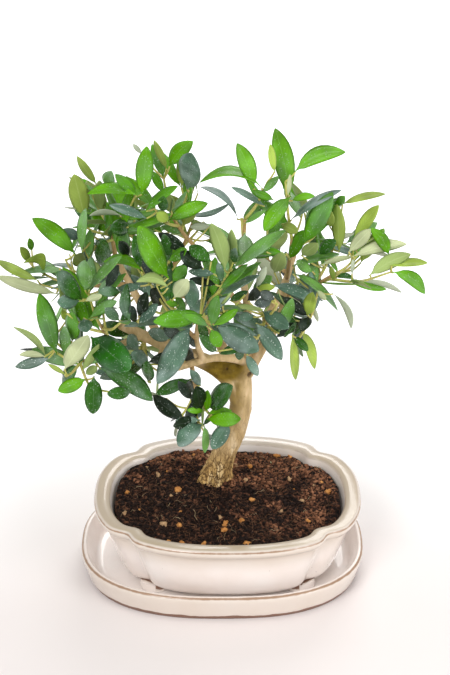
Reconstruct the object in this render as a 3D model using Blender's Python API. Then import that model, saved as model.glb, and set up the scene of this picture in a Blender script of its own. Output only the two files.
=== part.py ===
"""A small olive bonsai in a four-lobed glazed pot that stands in an oval drip tray.

The origin is the centre of the drip tray's flat underside, +Z is up and -Y is the front.
Sizes are in metres, and the tables of limbs and masses are in millimetres.
"""

import math
import random
from collections import namedtuple

import bmesh
import bpy
from mathutils import Matrix, Vector
from mathutils.bvhtree import BVHTree

MM = 0.001
TOUCH_GAP = 0.0003
UP = Vector((0.0, 0.0, 1.0))

# Drip tray
TRAY_WIDTH = 0.160
TRAY_DEPTH = 0.122
TRAY_HEIGHT = 0.016
TRAY_FOOT_INSET = 0.0045
TRAY_RIM_THICKNESS = 0.0034
TRAY_FLOOR = 0.004
TRAY_ROUNDNESS = 2.5
TRAY_EDGE_ROUND = 0.0012
TRAY_EDGE_DROP = 0.0020
TRAY_SEGMENTS = 40

# Pot
POT_WIDTH = 0.150
POT_DEPTH = 0.125
POT_TOP = 0.047
POT_SHIFT_X = 0.003
POT_BASE_INSET = 0.0135
POT_BASE_ROUND = 0.0030
POT_LIP_WIDTH = 0.0095
POT_LIP_DROP = 0.0055
POT_LIP_OVERHANG = 0.0042
POT_LIP_ROUND = 0.0020
POT_THROAT_DEPTH = 0.0080
POT_WALL = 0.0050
POT_WALL_SWELL = 0.0015
POT_FLOOR = 0.0045
POT_ROUNDNESS = 2.45
POT_NOTCH_DEPTH = 0.052
POT_NOTCH_ANGLE = math.radians(38.7)
POT_NOTCH_SPREAD = math.radians(5.0)
POT_STEPS_PER_LOBE_HALF = 6
FOOT_HEIGHT = 0.0038
FOOT_RADIUS = 0.0085
FOOT_SINK = 0.0010
FOOT_AT = (0.040, 0.030)
DRAIN_RADIUS = 0.0055
DRAIN_SPACING = 0.052

# Soil
SOIL_EDGE_DROP = 0.0050
SOIL_MOUND = 0.0042
SOIL_SEAT_RADIUS = 0.0150
SOIL_TOP_RINGS = 6
SOIL_SLOPE = 0.8
SOIL_EDGE_ROUND = 0.0015
SOIL_HEAVE = 0.0009
SOIL_HEAVE_SPACING = 0.017
SOIL_HEAP = 0.0026
SOIL_HEAP_AT = (-0.030, 0.030)
SOIL_HEAP_SPREAD = 0.030

# Trunk
TRUNK_FOOT = (-4.7, 14.5)
TRUNK_LINE = (
    (0.6, 13.5, 62.0),
    (7.2, 12.3, 79.0),
    (10.0, 11.2, 93.0),
    (10.6, 10.2, 106.0),
    (10.0, 9.4, 117.0),
)
TRUNK_RINGS = 11
TRUNK_RADIUS = 0.0060
TRUNK_TAPER = (1.06, 0.96)
TRUNK_FLARE = 0.0030
TRUNK_FLARE_HEIGHT = 0.0100
TRUNK_LEVEL_HEIGHT = 0.0120
ROOT_LOBES = 5
ROOT_LOBE_DEPTH = 0.17
ROOT_LOBE_TURN = 0.6
TRUNK_SIDES = 15

# Leaves
LEAF_WIDTH_SHARE = 0.36
LEAF_THICKNESS = 0.0010
LEAF_WIDEST = 0.50
LEAF_SIZES = (0.88, 1.08)
LEAF_SPACING = 0.0115
LEAF_CLEARANCE = 0.0009
LEAF_LEANS = (math.radians(62), math.radians(36))
LEAF_RISE = 0.15
LEAF_TURNS = (0.0, 0.5, -0.5, 0.9, -0.9)
PETIOLE = 0.0035
ROOT_DEPTH = 0.0003
PAIR_OFFSET = 0.0004
FIRST_PAIR = 0.30
TIP_MARGIN = 0.0014

# Twigs
TWIG_RADII = (0.00125, 0.00095)
SHOOT_RADII = (0.00100, 0.00080)
TWIG_POINTS = 4
SEAT_SHARE = 0.6
STEM_BENDS = (0.06, 0.16, -0.06, 0.26)
SHOOT_BENDS = (0.10, 0.20, 0.0, -0.10)
SHOOT_SPREAD = 0.42
CROWN_HEART = (-6.0, 6.0, 160.0)
ADDED_OUTWARD = 0.35
ADDED_REACH = 0.42
GOLDEN_ANGLE = math.radians(137.5)

Limb = namedtuple("Limb", "name line root tip colour")
Mass = namedtuple("Mass", "name limb at hub reach tips fill leaf seed colour")

BARK_OLD = (0.42, 0.29, 0.13)
BARK_YOUNG = (0.50, 0.35, 0.17)

# Each limb's line in millimetres, then its half thickness where it springs and at its tip
LIMBS = (
    Limb("bough_left", ((11, 9, 115), (-9, 8, 124), (-31, 2, 137), (-54, -6, 153)), 5.2, 2.4, BARK_OLD),
    Limb("bough_centre", ((11, 9, 114), (13, 9, 132), (14, 6, 152), (10, 1, 184)), 3.6, 1.7, BARK_OLD),
    Limb("bough_right", ((12, 9, 113), (22, 9, 132), (31, 5, 152), (34, 1, 176)), 3.4, 1.6, BARK_OLD),
    Limb("bough_front", ((12, 8, 124), (6, -4, 132), (-6, -12, 136), (-23, -26, 138)),
         2.6, 1.9, BARK_YOUNG),
    Limb("bough_back_left", ((9, 11, 112), (-4, 28, 130), (-22, 44, 150), (-36, 52, 166)),
         3.4, 1.6, BARK_OLD),
    Limb("bough_back_right", ((12, 11, 112), (22, 28, 132), (34, 44, 152), (40, 52, 168)),
         3.2, 1.5, BARK_OLD),
    Limb("bough_left_high", ((-31, 2, 137), (-42, 4, 158), (-50, 5, 174), (-56, 5, 188)),
         2.4, 1.4, BARK_YOUNG),
    Limb("bough_left_low", ((-42, -2, 145), (-56, -14, 144), (-66, -24, 142)), 2.0, 1.3, BARK_YOUNG),
    Limb("bough_front_riser", ((-10, -15, 136), (-13, -24, 152), (-12, -32, 168)), 1.9, 1.2, BARK_YOUNG),
    Limb("bough_right_low", ((28, 7, 146), (36, 2, 151), (45, -5, 154)), 1.9, 1.3, BARK_YOUNG),
    Limb("bough_crown", ((14, 6, 152), (0, 6, 172), (-14, 7, 192)), 1.9, 1.2, BARK_YOUNG),
)

LEAF_YOUNG = (0.13, 0.36, 0.04)
LEAF_MIDDLE = (0.08, 0.24, 0.04)
LEAF_OLD = (0.05, 0.14, 0.08)

# Each mass: the limb that carries it and how far along, the end of its stem, its reach each way,
# the ends of the shoots that stand out of it, how many more the rule adds, and its leaf length
MASSES = (
    Mass("foliage_far_left", "bough_left_high", 0.62, (-78, 1, 174), (52, 42, 44),
         ((-99, 0, 184), (-85, 2, 195), (-94, -10, 178), (-70, 6, 186)), 0, 27, 11, LEAF_YOUNG),
    Mass("foliage_left_low", "bough_left_low", 1.0, (-75, -30, 144), (44, 40, 38),
         ((-87, -30, 150), (-68, -36, 131), (-82, -46, 142)), 1, 26, 12, LEAF_MIDDLE),
    Mass("foliage_left_front", "bough_left_low", 0.45, (-62, -36, 168), (40, 40, 44),
         ((-66, -44, 188), (-50, -50, 176), (-78, -40, 176)), 1, 27, 13, LEAF_MIDDLE),
    Mass("foliage_top_left", "bough_left_high", 1.0, (-58, 6, 204), (44, 40, 44),
         ((-67, 10, 219), (-44, -4, 225), (-78, 4, 210)), 1, 27, 14, LEAF_YOUNG),
    Mass("foliage_top_middle", "bough_crown", 1.0, (-26, 6, 210), (40, 40, 46),
         ((-30, 10, 229), (-16, 2, 229), (-34, -14, 222)), 1, 26, 15, LEAF_YOUNG),
    Mass("foliage_centre_left", "bough_front_riser", 0.55, (-24, -40, 178), (42, 42, 42),
         ((-32, -50, 196), (-40, -46, 184)), 2, 29, 16, LEAF_MIDDLE),
    Mass("foliage_centre_front", "bough_front_riser", 1.0, (-6, -46, 186), (44, 40, 44),
         ((3, -54, 204), (-10, -62, 184), (10, -58, 186)), 1, 27, 17, LEAF_YOUNG),
    Mass("foliage_top_centre", "bough_centre", 1.0, (12, -3, 212), (44, 42, 48),
         ((23, -8, 234), (7, 0, 227), (12, -24, 220)), 1, 30, 18, LEAF_YOUNG),
    Mass("foliage_top_right", "bough_right", 1.0, (36, -6, 202), (44, 40, 62),
         ((32, -10, 235), (46, -5, 236), (52, -10, 215), (30, -26, 213)), 0, 29, 19, LEAF_YOUNG),
    Mass("foliage_far_right", "bough_right", 0.86, (58, -6, 182), (60, 40, 44),
         ((70, -10, 195), (87, -16, 188), (76, 8, 188), (60, -2, 202)), 0, 26, 20, LEAF_YOUNG),
    Mass("foliage_right_low", "bough_right_low", 1.0, (46, -12, 160), (34, 40, 44),
         ((44, -26, 171), (38, -20, 149), (48, -10, 174)), 1, 25, 21, LEAF_MIDDLE),
    Mass("foliage_centre_right", "bough_right", 0.45, (22, -22, 166), (40, 44, 40),
         ((28, -38, 180), (16, -40, 160), (34, -34, 162)), 1, 29, 22, LEAF_OLD),
    Mass("foliage_low_cluster", "bough_front", 0.87, (-12, -28, 118), (40, 38, 38),
         ((-14, -34, 112), (-4, -30, 110)), 2, 24, 23, LEAF_OLD),
    Mass("foliage_heart_left", "bough_left", 0.80, (-42, 4, 138), (40, 42, 40),
         ((-52, -10, 126), (-38, -18, 124)), 2, 27, 24, LEAF_OLD),
    Mass("foliage_back_left", "bough_back_left", 1.0, (-52, 60, 180), (50, 46, 48),
         ((-70, 64, 188), (-48, 70, 196)), 2, 28, 25, LEAF_MIDDLE),
    Mass("foliage_back_left_low", "bough_back_left", 0.62, (-40, 46, 146), (48, 46, 42),
         ((-60, 48, 148), (-44, 62, 142)), 2, 28, 26, LEAF_OLD),
    Mass("foliage_back_top", "bough_back_left", 0.84, (-16, 46, 190), (46, 44, 48),
         ((-22, 46, 210), (0, 42, 204)), 2, 27, 27, LEAF_YOUNG),
    Mass("foliage_back_right", "bough_back_right", 1.0, (50, 58, 182), (50, 46, 48),
         ((66, 60, 190), (44, 68, 198)), 2, 28, 28, LEAF_MIDDLE),
    Mass("foliage_back_right_low", "bough_back_right", 0.60, (38, 46, 150), (38, 46, 40),
         ((46, 48, 158), (38, 62, 146)), 2, 26, 29, LEAF_OLD),
    Mass("foliage_back_middle", "bough_back_right", 0.80, (18, 62, 168), (44, 44, 46),
         ((12, 72, 182), (4, 66, 162)), 2, 28, 30, LEAF_MIDDLE),
)


def clear_scene():
    """Empty the file of its objects."""
    for item in list(bpy.data.objects):
        bpy.data.objects.remove(item)


def new_collection(name):
    """A collection under the scene's own."""
    group = bpy.data.collections.new(name)
    bpy.context.scene.collection.children.link(group)
    return group


def plain_material(name, colour, roughness):
    """A Principled material with one colour and one roughness."""
    made = bpy.data.materials.new(name)
    made.use_nodes = True
    shader = made.node_tree.nodes["Principled BSDF"]
    shader.inputs["Base Color"].default_value = (*colour, 1.0)
    shader.inputs["Roughness"].default_value = roughness
    shader.inputs["Metallic"].default_value = 0.0
    return made


def add_object(name, mesh, group, colour, roughness, smooth=True):
    """An object of its own for a mesh, with its own material."""
    made = bpy.data.objects.new(name, mesh)
    made.data.materials.append(plain_material(name + "_finish", colour, roughness))
    group.objects.link(made)
    if smooth:
        mesh.shade_smooth()
        mesh.set_sharp_from_angle(angle=math.radians(40))
    return made


def loft_mesh(name, rings):
    """A closed solid through rings of equal count, its first and last ring filled flat."""
    bm = bmesh.new()
    rows = []
    for ring in rings:
        rows.append([bm.verts.new(point) for point in ring])
    count = len(rings[0])
    for lower, upper in zip(rows, rows[1:]):
        for step in range(count):
            after = (step + 1) % count
            bm.faces.new((lower[step], lower[after], upper[after], upper[step]))
    bm.faces.new(tuple(reversed(rows[0])))
    bm.faces.new(tuple(rows[-1]))
    bmesh.ops.recalc_face_normals(bm, faces=bm.faces)
    mesh = bpy.data.meshes.new(name)
    bm.to_mesh(mesh)
    bm.free()
    return mesh


def oval_radius(angle, half_width, half_depth, roundness):
    """Distance to the edge of a rounded oval in one direction."""
    across = abs(math.cos(angle)) / half_width
    along = abs(math.sin(angle)) / half_depth
    return (across ** roundness + along ** roundness) ** (-1.0 / roundness)


def oval_ring(half_width, half_depth, height, roundness, angles, centre=(0.0, 0.0), notch=0.0):
    """A level ring of points round an oval, drawn in at its four corners by the notch share."""
    ring = []
    for angle in angles:
        reach = oval_radius(angle, half_width, half_depth, roundness)
        corner = abs(math.asin(min(1.0, abs(math.sin(angle))))) - POT_NOTCH_ANGLE
        reach *= 1.0 - notch * math.exp(-(corner / POT_NOTCH_SPREAD) ** 2)
        x = centre[0] + reach * math.cos(angle)
        y = centre[1] + reach * math.sin(angle)
        ring.append(Vector((x, y, height)))
    return ring


def lobed_angles():
    """Directions round the pot, closer together beside its four notches."""
    quarter = []
    for step in range(POT_STEPS_PER_LOBE_HALF):
        share = math.sin(math.pi / 2 * step / POT_STEPS_PER_LOBE_HALF)
        quarter.append(POT_NOTCH_ANGLE * share)
    for step in range(POT_STEPS_PER_LOBE_HALF, 0, -1):
        share = math.sin(math.pi / 2 * step / POT_STEPS_PER_LOBE_HALF)
        quarter.append(math.pi / 2 - (math.pi / 2 - POT_NOTCH_ANGLE) * share)
    angles = list(quarter)
    angles += [math.pi - angle for angle in reversed(quarter[1:])]
    angles.insert(len(quarter), math.pi / 2)
    angles += [math.pi + angle for angle in quarter]
    angles.append(3 * math.pi / 2)
    angles += [2 * math.pi - angle for angle in reversed(quarter[1:])]
    return angles


def make_tray(group):
    """The oval drip tray: flared wall, rounded rim and a flat underside."""
    angles = [2 * math.pi * step / TRAY_SEGMENTS for step in range(TRAY_SEGMENTS)]
    half_width = TRAY_WIDTH / 2
    half_depth = TRAY_DEPTH / 2

    def ring(inset, height):
        return oval_ring(half_width - inset, half_depth - inset, height, TRAY_ROUNDNESS, angles)

    inner = TRAY_RIM_THICKNESS
    rings = [
        ring(TRAY_FOOT_INSET, 0.0),
        ring(TRAY_FOOT_INSET - TRAY_EDGE_ROUND, TRAY_EDGE_DROP),
        ring(0.0, TRAY_HEIGHT - TRAY_EDGE_DROP),
        ring(TRAY_EDGE_ROUND, TRAY_HEIGHT),
        ring(inner - TRAY_EDGE_ROUND / 2, TRAY_HEIGHT - TRAY_EDGE_DROP / 5),
        ring(inner, TRAY_HEIGHT - TRAY_EDGE_DROP),
        ring(TRAY_FOOT_INSET + inner, TRAY_FLOOR),
    ]
    return add_object("drip_tray", loft_mesh("drip_tray", rings), group, (0.86, 0.80, 0.70), 0.25)


def pot_ring(inset, height):
    """A level ring of the pot's lobed outline, drawn in from the lip's edge."""
    return oval_ring(
        POT_WIDTH / 2 - inset,
        POT_DEPTH / 2 - inset,
        height,
        POT_ROUNDNESS,
        lobed_angles(),
        (POT_SHIFT_X, 0.0),
        POT_NOTCH_DEPTH,
    )


def pot_heights():
    """The heights of the feet's underside, the body's underside and the inner floor."""
    feet = TRAY_FLOOR + TOUCH_GAP
    body = feet + FOOT_HEIGHT
    return feet, body, body + POT_FLOOR


def make_pot(group, cutters):
    """The lobed pot: tapered wall, rounded lip, four feet and two drain holes."""
    feet, body, floor = pot_heights()
    lip_under = POT_TOP - POT_LIP_DROP
    wall_inner = POT_LIP_OVERHANG + POT_WALL
    rings = [
        pot_ring(POT_BASE_INSET + POT_BASE_ROUND, body),
        pot_ring(POT_BASE_INSET, body + POT_BASE_ROUND),
        pot_ring(POT_LIP_OVERHANG, lip_under - POT_LIP_ROUND),
        pot_ring(POT_LIP_ROUND / 2, lip_under + POT_LIP_ROUND / 2),
        pot_ring(0.0, POT_TOP - POT_LIP_ROUND),
        pot_ring(POT_LIP_ROUND, POT_TOP),
        pot_ring(POT_LIP_WIDTH - POT_LIP_ROUND, POT_TOP),
        pot_ring(POT_LIP_WIDTH, POT_TOP - POT_LIP_ROUND),
        pot_ring(wall_inner + POT_WALL_SWELL, POT_TOP - POT_THROAT_DEPTH),
        pot_ring(POT_BASE_INSET + POT_WALL, floor),
    ]
    pot = add_object("pot", loft_mesh("pot", rings), group, (0.88, 0.83, 0.73), 0.22)
    for side_x in (-1, 1):
        for side_y in (-1, 1):
            top = body + FOOT_SINK
            at = (POT_SHIFT_X + side_x * FOOT_AT[0], side_y * FOOT_AT[1], (feet + top) / 2)
            join_cylinder(pot, at, FOOT_RADIUS, top - feet, cutters)
    for side in (-1, 1):
        at = (POT_SHIFT_X + side * DRAIN_SPACING / 2, 0.0, (body + floor) / 2)
        depth = 2 * POT_TOP
        bpy.ops.mesh.primitive_cylinder_add(vertices=12, radius=DRAIN_RADIUS, depth=depth, location=at)
        drill = bpy.context.object
        drill.name = "drain_drill_" + ("left" if side < 0 else "right")
        keep_as_guide(drill, cutters)
        hole = pot.modifiers.new(drill.name, "BOOLEAN")
        hole.operation = "DIFFERENCE"
        hole.object = drill
    return pot


def join_cylinder(owner, at, radius, depth, cutters):
    """Join an upright cylinder to an object with a Boolean union."""
    bpy.ops.mesh.primitive_cylinder_add(vertices=12, radius=radius, depth=depth, location=at)
    foot = bpy.context.object
    foot.name = "foot_guide"
    keep_as_guide(foot, cutters)
    union = owner.modifiers.new("foot", "BOOLEAN")
    union.operation = "UNION"
    union.object = foot


def keep_as_guide(item, cutters):
    """Move an object to the cutters' collection and show it as wire only."""
    for group in list(item.users_collection):
        group.objects.unlink(item)
    cutters.objects.link(item)
    item.display_type = "WIRE"
    item.hide_render = True


def soil_heave(point):
    """The height of the peat's swells at a place: low rounded heaps at an even spacing."""
    turn = 2 * math.pi / SOIL_HEAVE_SPACING
    across = math.sin(turn * point.x + math.sin(turn * point.y * 0.5))
    return SOIL_HEAVE * across * math.cos(turn * point.y * 0.9 + math.sin(turn * point.x * 0.4))


def soil_heap(point):
    """How much higher the peat is banked at a place, behind the trunk on the left."""
    away = Vector((point.x - SOIL_HEAP_AT[0], point.y - SOIL_HEAP_AT[1]))
    return SOIL_HEAP * math.exp(-(away.length / SOIL_HEAP_SPREAD) ** 2)


def make_soil(group):
    """The soil that fills the pot, mounded towards the trunk with a level seat under it."""
    floor = pot_heights()[2] + TOUCH_GAP
    side_gap = TOUCH_GAP * 1.5
    edge = POT_TOP - SOIL_EDGE_DROP
    lower_inset = POT_BASE_INSET + POT_WALL + side_gap
    upper_inset = POT_LIP_OVERHANG + POT_WALL + POT_WALL_SWELL + 2 * side_gap
    rings = [
        pot_ring(lower_inset, floor),
        pot_ring(upper_inset, POT_TOP - POT_THROAT_DEPTH),
    ]
    for inset, drop in ((0.0, SOIL_EDGE_ROUND), (SOIL_EDGE_ROUND, 0.0)):
        level = pot_ring(upper_inset + inset, edge - drop)
        rings.append([point + UP * soil_heap(point) for point in level])
    outer = rings[-1]
    foot = Vector((TRUNK_FOOT[0] * MM, TRUNK_FOOT[1] * MM, 0.0))
    top = edge + SOIL_MOUND
    for step in range(1, SOIL_TOP_RINGS):
        share = 1.0 - step / (SOIL_TOP_RINGS - 1)
        ring = []
        for point in outer:
            away = Vector((point.x - foot.x, point.y - foot.y, 0.0))
            seat = foot + away.normalized() * SOIL_SEAT_RADIUS
            flat = seat.lerp(Vector((point.x, point.y, 0.0)), share)
            mound = (top - edge) * (1.0 - share ** SOIL_SLOPE)
            heave = soil_heave(flat) * math.sin(math.pi * share)
            heap = soil_heap(flat) * math.sin(math.pi / 2 * share)
            ring.append(Vector((flat.x, flat.y, edge + mound + heave + heap)))
        rings.append(ring)
    return add_object("soil", loft_mesh("soil", rings), group, (0.035, 0.022, 0.015), 0.95)


def soil_top():
    """The height of the level seat under the trunk."""
    return POT_TOP - SOIL_EDGE_DROP + SOIL_MOUND


def smooth_line(points, count):
    """Points evenly along a smooth curve through the given ones."""
    knots = [Vector(point) for point in points]
    padded = [knots[0] * 2 - knots[1]] + knots + [knots[-1] * 2 - knots[-2]]
    line = []
    spans = len(knots) - 1
    for step in range(count):
        place = spans * step / (count - 1)
        span = min(int(place), spans - 1)
        part = place - span
        before, start, end, after = padded[span:span + 4]
        line.append(0.5 * (
            2 * start
            + (end - before) * part
            + (2 * before - 5 * start + 4 * end - after) * part ** 2
            + (3 * start - before - 3 * end + after) * part ** 3
        ))
    return line


def along(line, share):
    """The point and heading at a share of a line's points."""
    place = max(0.0, min(1.0, share)) * (len(line) - 1)
    index = min(int(place), len(line) - 2)
    point = line[index].lerp(line[index + 1], place - index)
    return point, (line[index + 1] - line[index]).normalized()


def make_trunk(group):
    """The leaning trunk: lobed root flare on a level cut, tapering up to the fork."""
    base = soil_top() + TOUCH_GAP
    foot = Vector((TRUNK_FOOT[0] * MM, TRUNK_FOOT[1] * MM, base))
    line = smooth_line([foot] + [Vector(point) * MM for point in TRUNK_LINE], TRUNK_RINGS)
    rings = []
    for index, point in enumerate(line):
        share = index / (len(line) - 1)
        heading = along(line, share)[1]
        rise = point.z - base
        flare = math.exp(-rise / TRUNK_FLARE_HEIGHT)
        level = max(0.0, 1.0 - rise / TRUNK_LEVEL_HEIGHT)
        upright = heading.lerp(UP, level).normalized()
        side = upright.cross(Vector((0.0, 1.0, 0.0))).normalized() * -1
        front = upright.cross(side).normalized()
        taper = TRUNK_TAPER[0] + (TRUNK_TAPER[1] - TRUNK_TAPER[0]) * share
        radius = TRUNK_RADIUS * taper + TRUNK_FLARE * flare
        ring = []
        for step in range(TRUNK_SIDES):
            angle = 2 * math.pi * step / TRUNK_SIDES
            lobe = 1.0 + ROOT_LOBE_DEPTH * flare * math.cos(ROOT_LOBES * angle + ROOT_LOBE_TURN)
            spoke = side * math.cos(angle) + front * math.sin(angle)
            ring.append(point + spoke * radius * lobe)
        rings.append(ring)
    return add_object("trunk", loft_mesh("trunk", rings), group, BARK_YOUNG, 0.75)


def three_sided():
    """A triangle curve that gives a twig its section."""
    outline = bpy.data.curves.new("twig_section", "CURVE")
    outline.dimensions = "2D"
    spline = outline.splines.new("POLY")
    spline.points.add(2)
    for index in range(3):
        angle = 2 * math.pi * index / 3
        spline.points[index].co = (math.cos(angle), math.sin(angle), 0.0, 1.0)
    spline.use_cyclic_u = True
    item = bpy.data.objects.new("twig_section", outline)
    bpy.context.scene.collection.objects.link(item)
    return item


def tube_mesh(name, line, radii, section=None):
    """A closed tapering tube along a line, round unless a section is given."""
    curve = bpy.data.curves.new(name, "CURVE")
    curve.dimensions = "3D"
    curve.use_fill_caps = True
    curve.bevel_resolution = 2
    if section:
        curve.bevel_mode = "OBJECT"
        curve.bevel_object = section
    else:
        curve.bevel_depth = 1.0
    spline = curve.splines.new("POLY")
    spline.points.add(len(line) - 1)
    for index, point in enumerate(line):
        share = index / (len(line) - 1)
        spline.points[index].co = (*point, 1.0)
        spline.points[index].radius = radii[0] + (radii[1] - radii[0]) * share
    item = bpy.data.objects.new(name, curve)
    bpy.context.scene.collection.objects.link(item)
    depsgraph = bpy.context.evaluated_depsgraph_get()
    mesh = bpy.data.meshes.new_from_object(item.evaluated_get(depsgraph))
    mesh.transform(item.matrix_world)
    bpy.data.objects.remove(item)
    bpy.data.curves.remove(curve)
    bm = bmesh.new()
    bm.from_mesh(mesh)
    bmesh.ops.remove_doubles(bm, verts=bm.verts, dist=0.00001)
    bmesh.ops.recalc_face_normals(bm, faces=bm.faces)
    bm.to_mesh(mesh)
    bm.free()
    return mesh


def solids_of(mesh):
    """The separate bodies of a mesh, as lists of vertex indices, the largest first."""
    bm = bmesh.new()
    bm.from_mesh(mesh)
    bm.verts.ensure_lookup_table()
    seen = set()
    bodies = []
    for start in bm.verts:
        if start.index in seen:
            continue
        body = []
        waiting = [start]
        seen.add(start.index)
        while waiting:
            vert = waiting.pop()
            body.append(vert.index)
            for edge in vert.link_edges:
                other = edge.other_vert(vert)
                if other.index not in seen:
                    seen.add(other.index)
                    waiting.append(other)
        bodies.append(body)
    bm.free()
    return sorted(bodies, key=len, reverse=True)


def keep_largest(mesh):
    """Drop loose scraps and the skins of sealed hollows, so that one body is left."""
    bodies = solids_of(mesh)
    if len(bodies) < 2:
        return
    bm = bmesh.new()
    bm.from_mesh(mesh)
    bm.verts.ensure_lookup_table()
    scraps = [bm.verts[index] for body in bodies[1:] for index in body]
    bmesh.ops.delete(bm, geom=scraps, context="VERTS")
    bm.to_mesh(mesh)
    bm.free()


def combine(mesh, others, operation):
    """One Boolean on a collection of the other meshes, applied, with its objects then removed."""
    owner = bpy.data.objects.new("boolean_owner", mesh)
    bpy.context.scene.collection.objects.link(owner)
    group = new_collection("boolean_others")
    for other in others:
        group.objects.link(bpy.data.objects.new("boolean_other", other))
    modifier = owner.modifiers.new("combine", "BOOLEAN")
    modifier.operation = operation
    modifier.operand_type = "COLLECTION"
    modifier.collection = group
    modifier.solver = "EXACT"
    depsgraph = bpy.context.evaluated_depsgraph_get()
    result = bpy.data.meshes.new_from_object(owner.evaluated_get(depsgraph))
    result.name = mesh.name
    for item in list(group.objects):
        bpy.data.objects.remove(item)
    bpy.data.collections.remove(group)
    bpy.data.objects.remove(owner)
    keep_largest(result)
    return result


def limb_line(limb):
    """The smooth centre line of a limb, in metres."""
    return smooth_line([Vector(point) * MM for point in limb.line], 2 * len(limb.line))


def grown_limb(name, line, radii):
    """A limb's tube made larger all round by the touching gap, as a cutter for its neighbours."""
    grow = TOUCH_GAP * 1.2
    start = line[0] + (line[0] - line[1]).normalized() * grow
    end = line[-1] + (line[-1] - line[-2]).normalized() * grow
    wide = (radii[0] + grow, radii[1] + grow)
    return tube_mesh(name, [start] + line[1:-1] + [end], wide)


def grown_trunk(trunk):
    """The trunk made larger all round by the touching gap."""
    mesh = trunk.data.copy()
    bm = bmesh.new()
    bm.from_mesh(mesh)
    bm.normal_update()
    for vert in bm.verts:
        vert.co += vert.normal * TOUCH_GAP * 1.3
    bm.to_mesh(mesh)
    bm.free()
    return mesh


def make_limbs(group, trunk):
    """Every bough, coped against the trunk and the boughs before it; returns the grown limbs."""
    grown = {"trunk": grown_trunk(trunk)}
    for limb in LIMBS:
        line = limb_line(limb)
        radii = (limb.root * MM, limb.tip * MM)
        blank = tube_mesh(limb.name, line, radii)
        mesh = combine(blank, [other.copy() for other in grown.values()], "DIFFERENCE")
        mesh.name = limb.name
        add_object(limb.name, mesh, group, limb.colour, 0.75)
        grown[limb.name] = grown_limb(limb.name + "_grown", line, radii)
    return grown


def leaf_blank():
    """A leaf of unit length along +Y: flat above with a keel below, pointed at root and tip."""
    bm = bmesh.new()
    outer = 1.0 - LEAF_WIDEST
    lift = Matrix.Translation((0.0, 0.0, LEAF_WIDEST + outer / 2))
    bmesh.ops.create_cone(
        bm, cap_ends=True, segments=3, radius1=0.5, radius2=0.0, depth=outer, matrix=lift
    )
    bmesh.ops.remove_doubles(bm, verts=bm.verts, dist=0.0001)
    bm.faces.ensure_lookup_table()
    base = min(bm.faces, key=lambda face: face.calc_center_median().z)
    keel = max(base.verts, key=lambda vert: abs(vert.co.y))
    for vert in base.verts:
        if vert is keel:
            vert.co = Vector((0.0, 1.0, vert.co.z))
        else:
            vert.co = Vector((math.copysign(0.5, vert.co.x), 0.0, vert.co.z))
    poked = bmesh.ops.poke(bm, faces=[base])
    poked["verts"][0].co = Vector((0.0, 0.0, 0.0))
    bm.transform(Matrix.Rotation(math.radians(-90), 4, "X"))
    bmesh.ops.recalc_face_normals(bm, faces=bm.faces)
    mesh = bpy.data.meshes.new("leaf_blank")
    bm.to_mesh(mesh)
    bm.free()
    return mesh


def leaf_matrix(root, heading, facing, length, width, thickness):
    """The matrix that lays the unit leaf out from its root."""
    forward = heading.normalized()
    side = forward.cross(facing).normalized()
    normal = side.cross(forward).normalized()
    turned = Matrix((side * width, forward * length, normal * thickness)).transposed().to_4x4()
    turned.translation = root
    return turned


def polygons_of(mesh, matrix=None):
    """A mesh's points and faces as plain lists for a touch test."""
    moved = [matrix @ vert.co if matrix else vert.co.copy() for vert in mesh.vertices]
    return moved, [list(face.vertices) for face in mesh.polygons]


class TouchTest:
    """Remembers placed pieces and tells whether a new one would touch them."""

    def __init__(self):
        self.points = []
        self.faces = []
        self.tree = None

    def add(self, points, faces):
        offset = len(self.points)
        self.points += points
        self.faces += [[index + offset for index in face] for face in faces]
        self.tree = None

    def touches(self, points, faces):
        if not self.faces:
            return False
        if self.tree is None:
            self.tree = BVHTree.FromPolygons(self.points, self.faces)
        return bool(self.tree.overlap(BVHTree.FromPolygons(points, faces)))


def inside_reach(point, mass):
    """Whether a point lies in the space that a mass keeps to."""
    total = 0.0
    for value, centre, reach in zip(point, mass.hub, mass.reach):
        total += ((value / MM - centre) / reach) ** 2
    return total <= 1.0


def shoot_line(start, end, lift):
    """A shoot that leaves its stem low and turns up towards its end."""
    middle = start.lerp(end, 0.5) - UP * lift * (end - start).length
    return smooth_line([start, middle, end], TWIG_POINTS)


def added_tips(mass):
    """The ends of the shoots that the rule adds, fanned round the way that the mass faces."""
    hub = Vector(mass.hub)
    outward = (hub - Vector(CROWN_HEART)).normalized()
    side = outward.orthogonal().normalized()
    other = outward.cross(side)
    draw = random.Random(mass.seed)
    turn = draw.uniform(0.0, 2 * math.pi)
    tips = []
    for index in range(mass.fill):
        angle = turn + index * GOLDEN_ANGLE
        way = outward * ADDED_OUTWARD + side * math.cos(angle) + other * math.sin(angle)
        way.normalize()
        step = [part * reach * ADDED_REACH for part, reach in zip(way, mass.reach)]
        tips.append(hub + Vector(step))
    return tips


def clear_twig(name, lines, radii, section, tests):
    """The first of several lines whose twig touches nothing, with its mesh."""
    for line in lines:
        mesh = tube_mesh(name, line, radii, section)
        wide = [radius + LEAF_CLEARANCE for radius in radii]
        roomy = polygons_of(tube_mesh(name, line, wide, section))
        if not any(test.touches(*roomy) for test in tests):
            return line, mesh
    return None


def seat_on_limb(mass, line, hub):
    """Where a mass's stem starts: inside its limb, on the side that faces the mass."""
    limb = next(limb for limb in LIMBS if limb.name == mass.limb)
    point = along(line, mass.at)[0]
    half = (limb.root + (limb.tip - limb.root) * mass.at) * MM
    return point + (hub - point).normalized() * half * SEAT_SHARE


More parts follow.
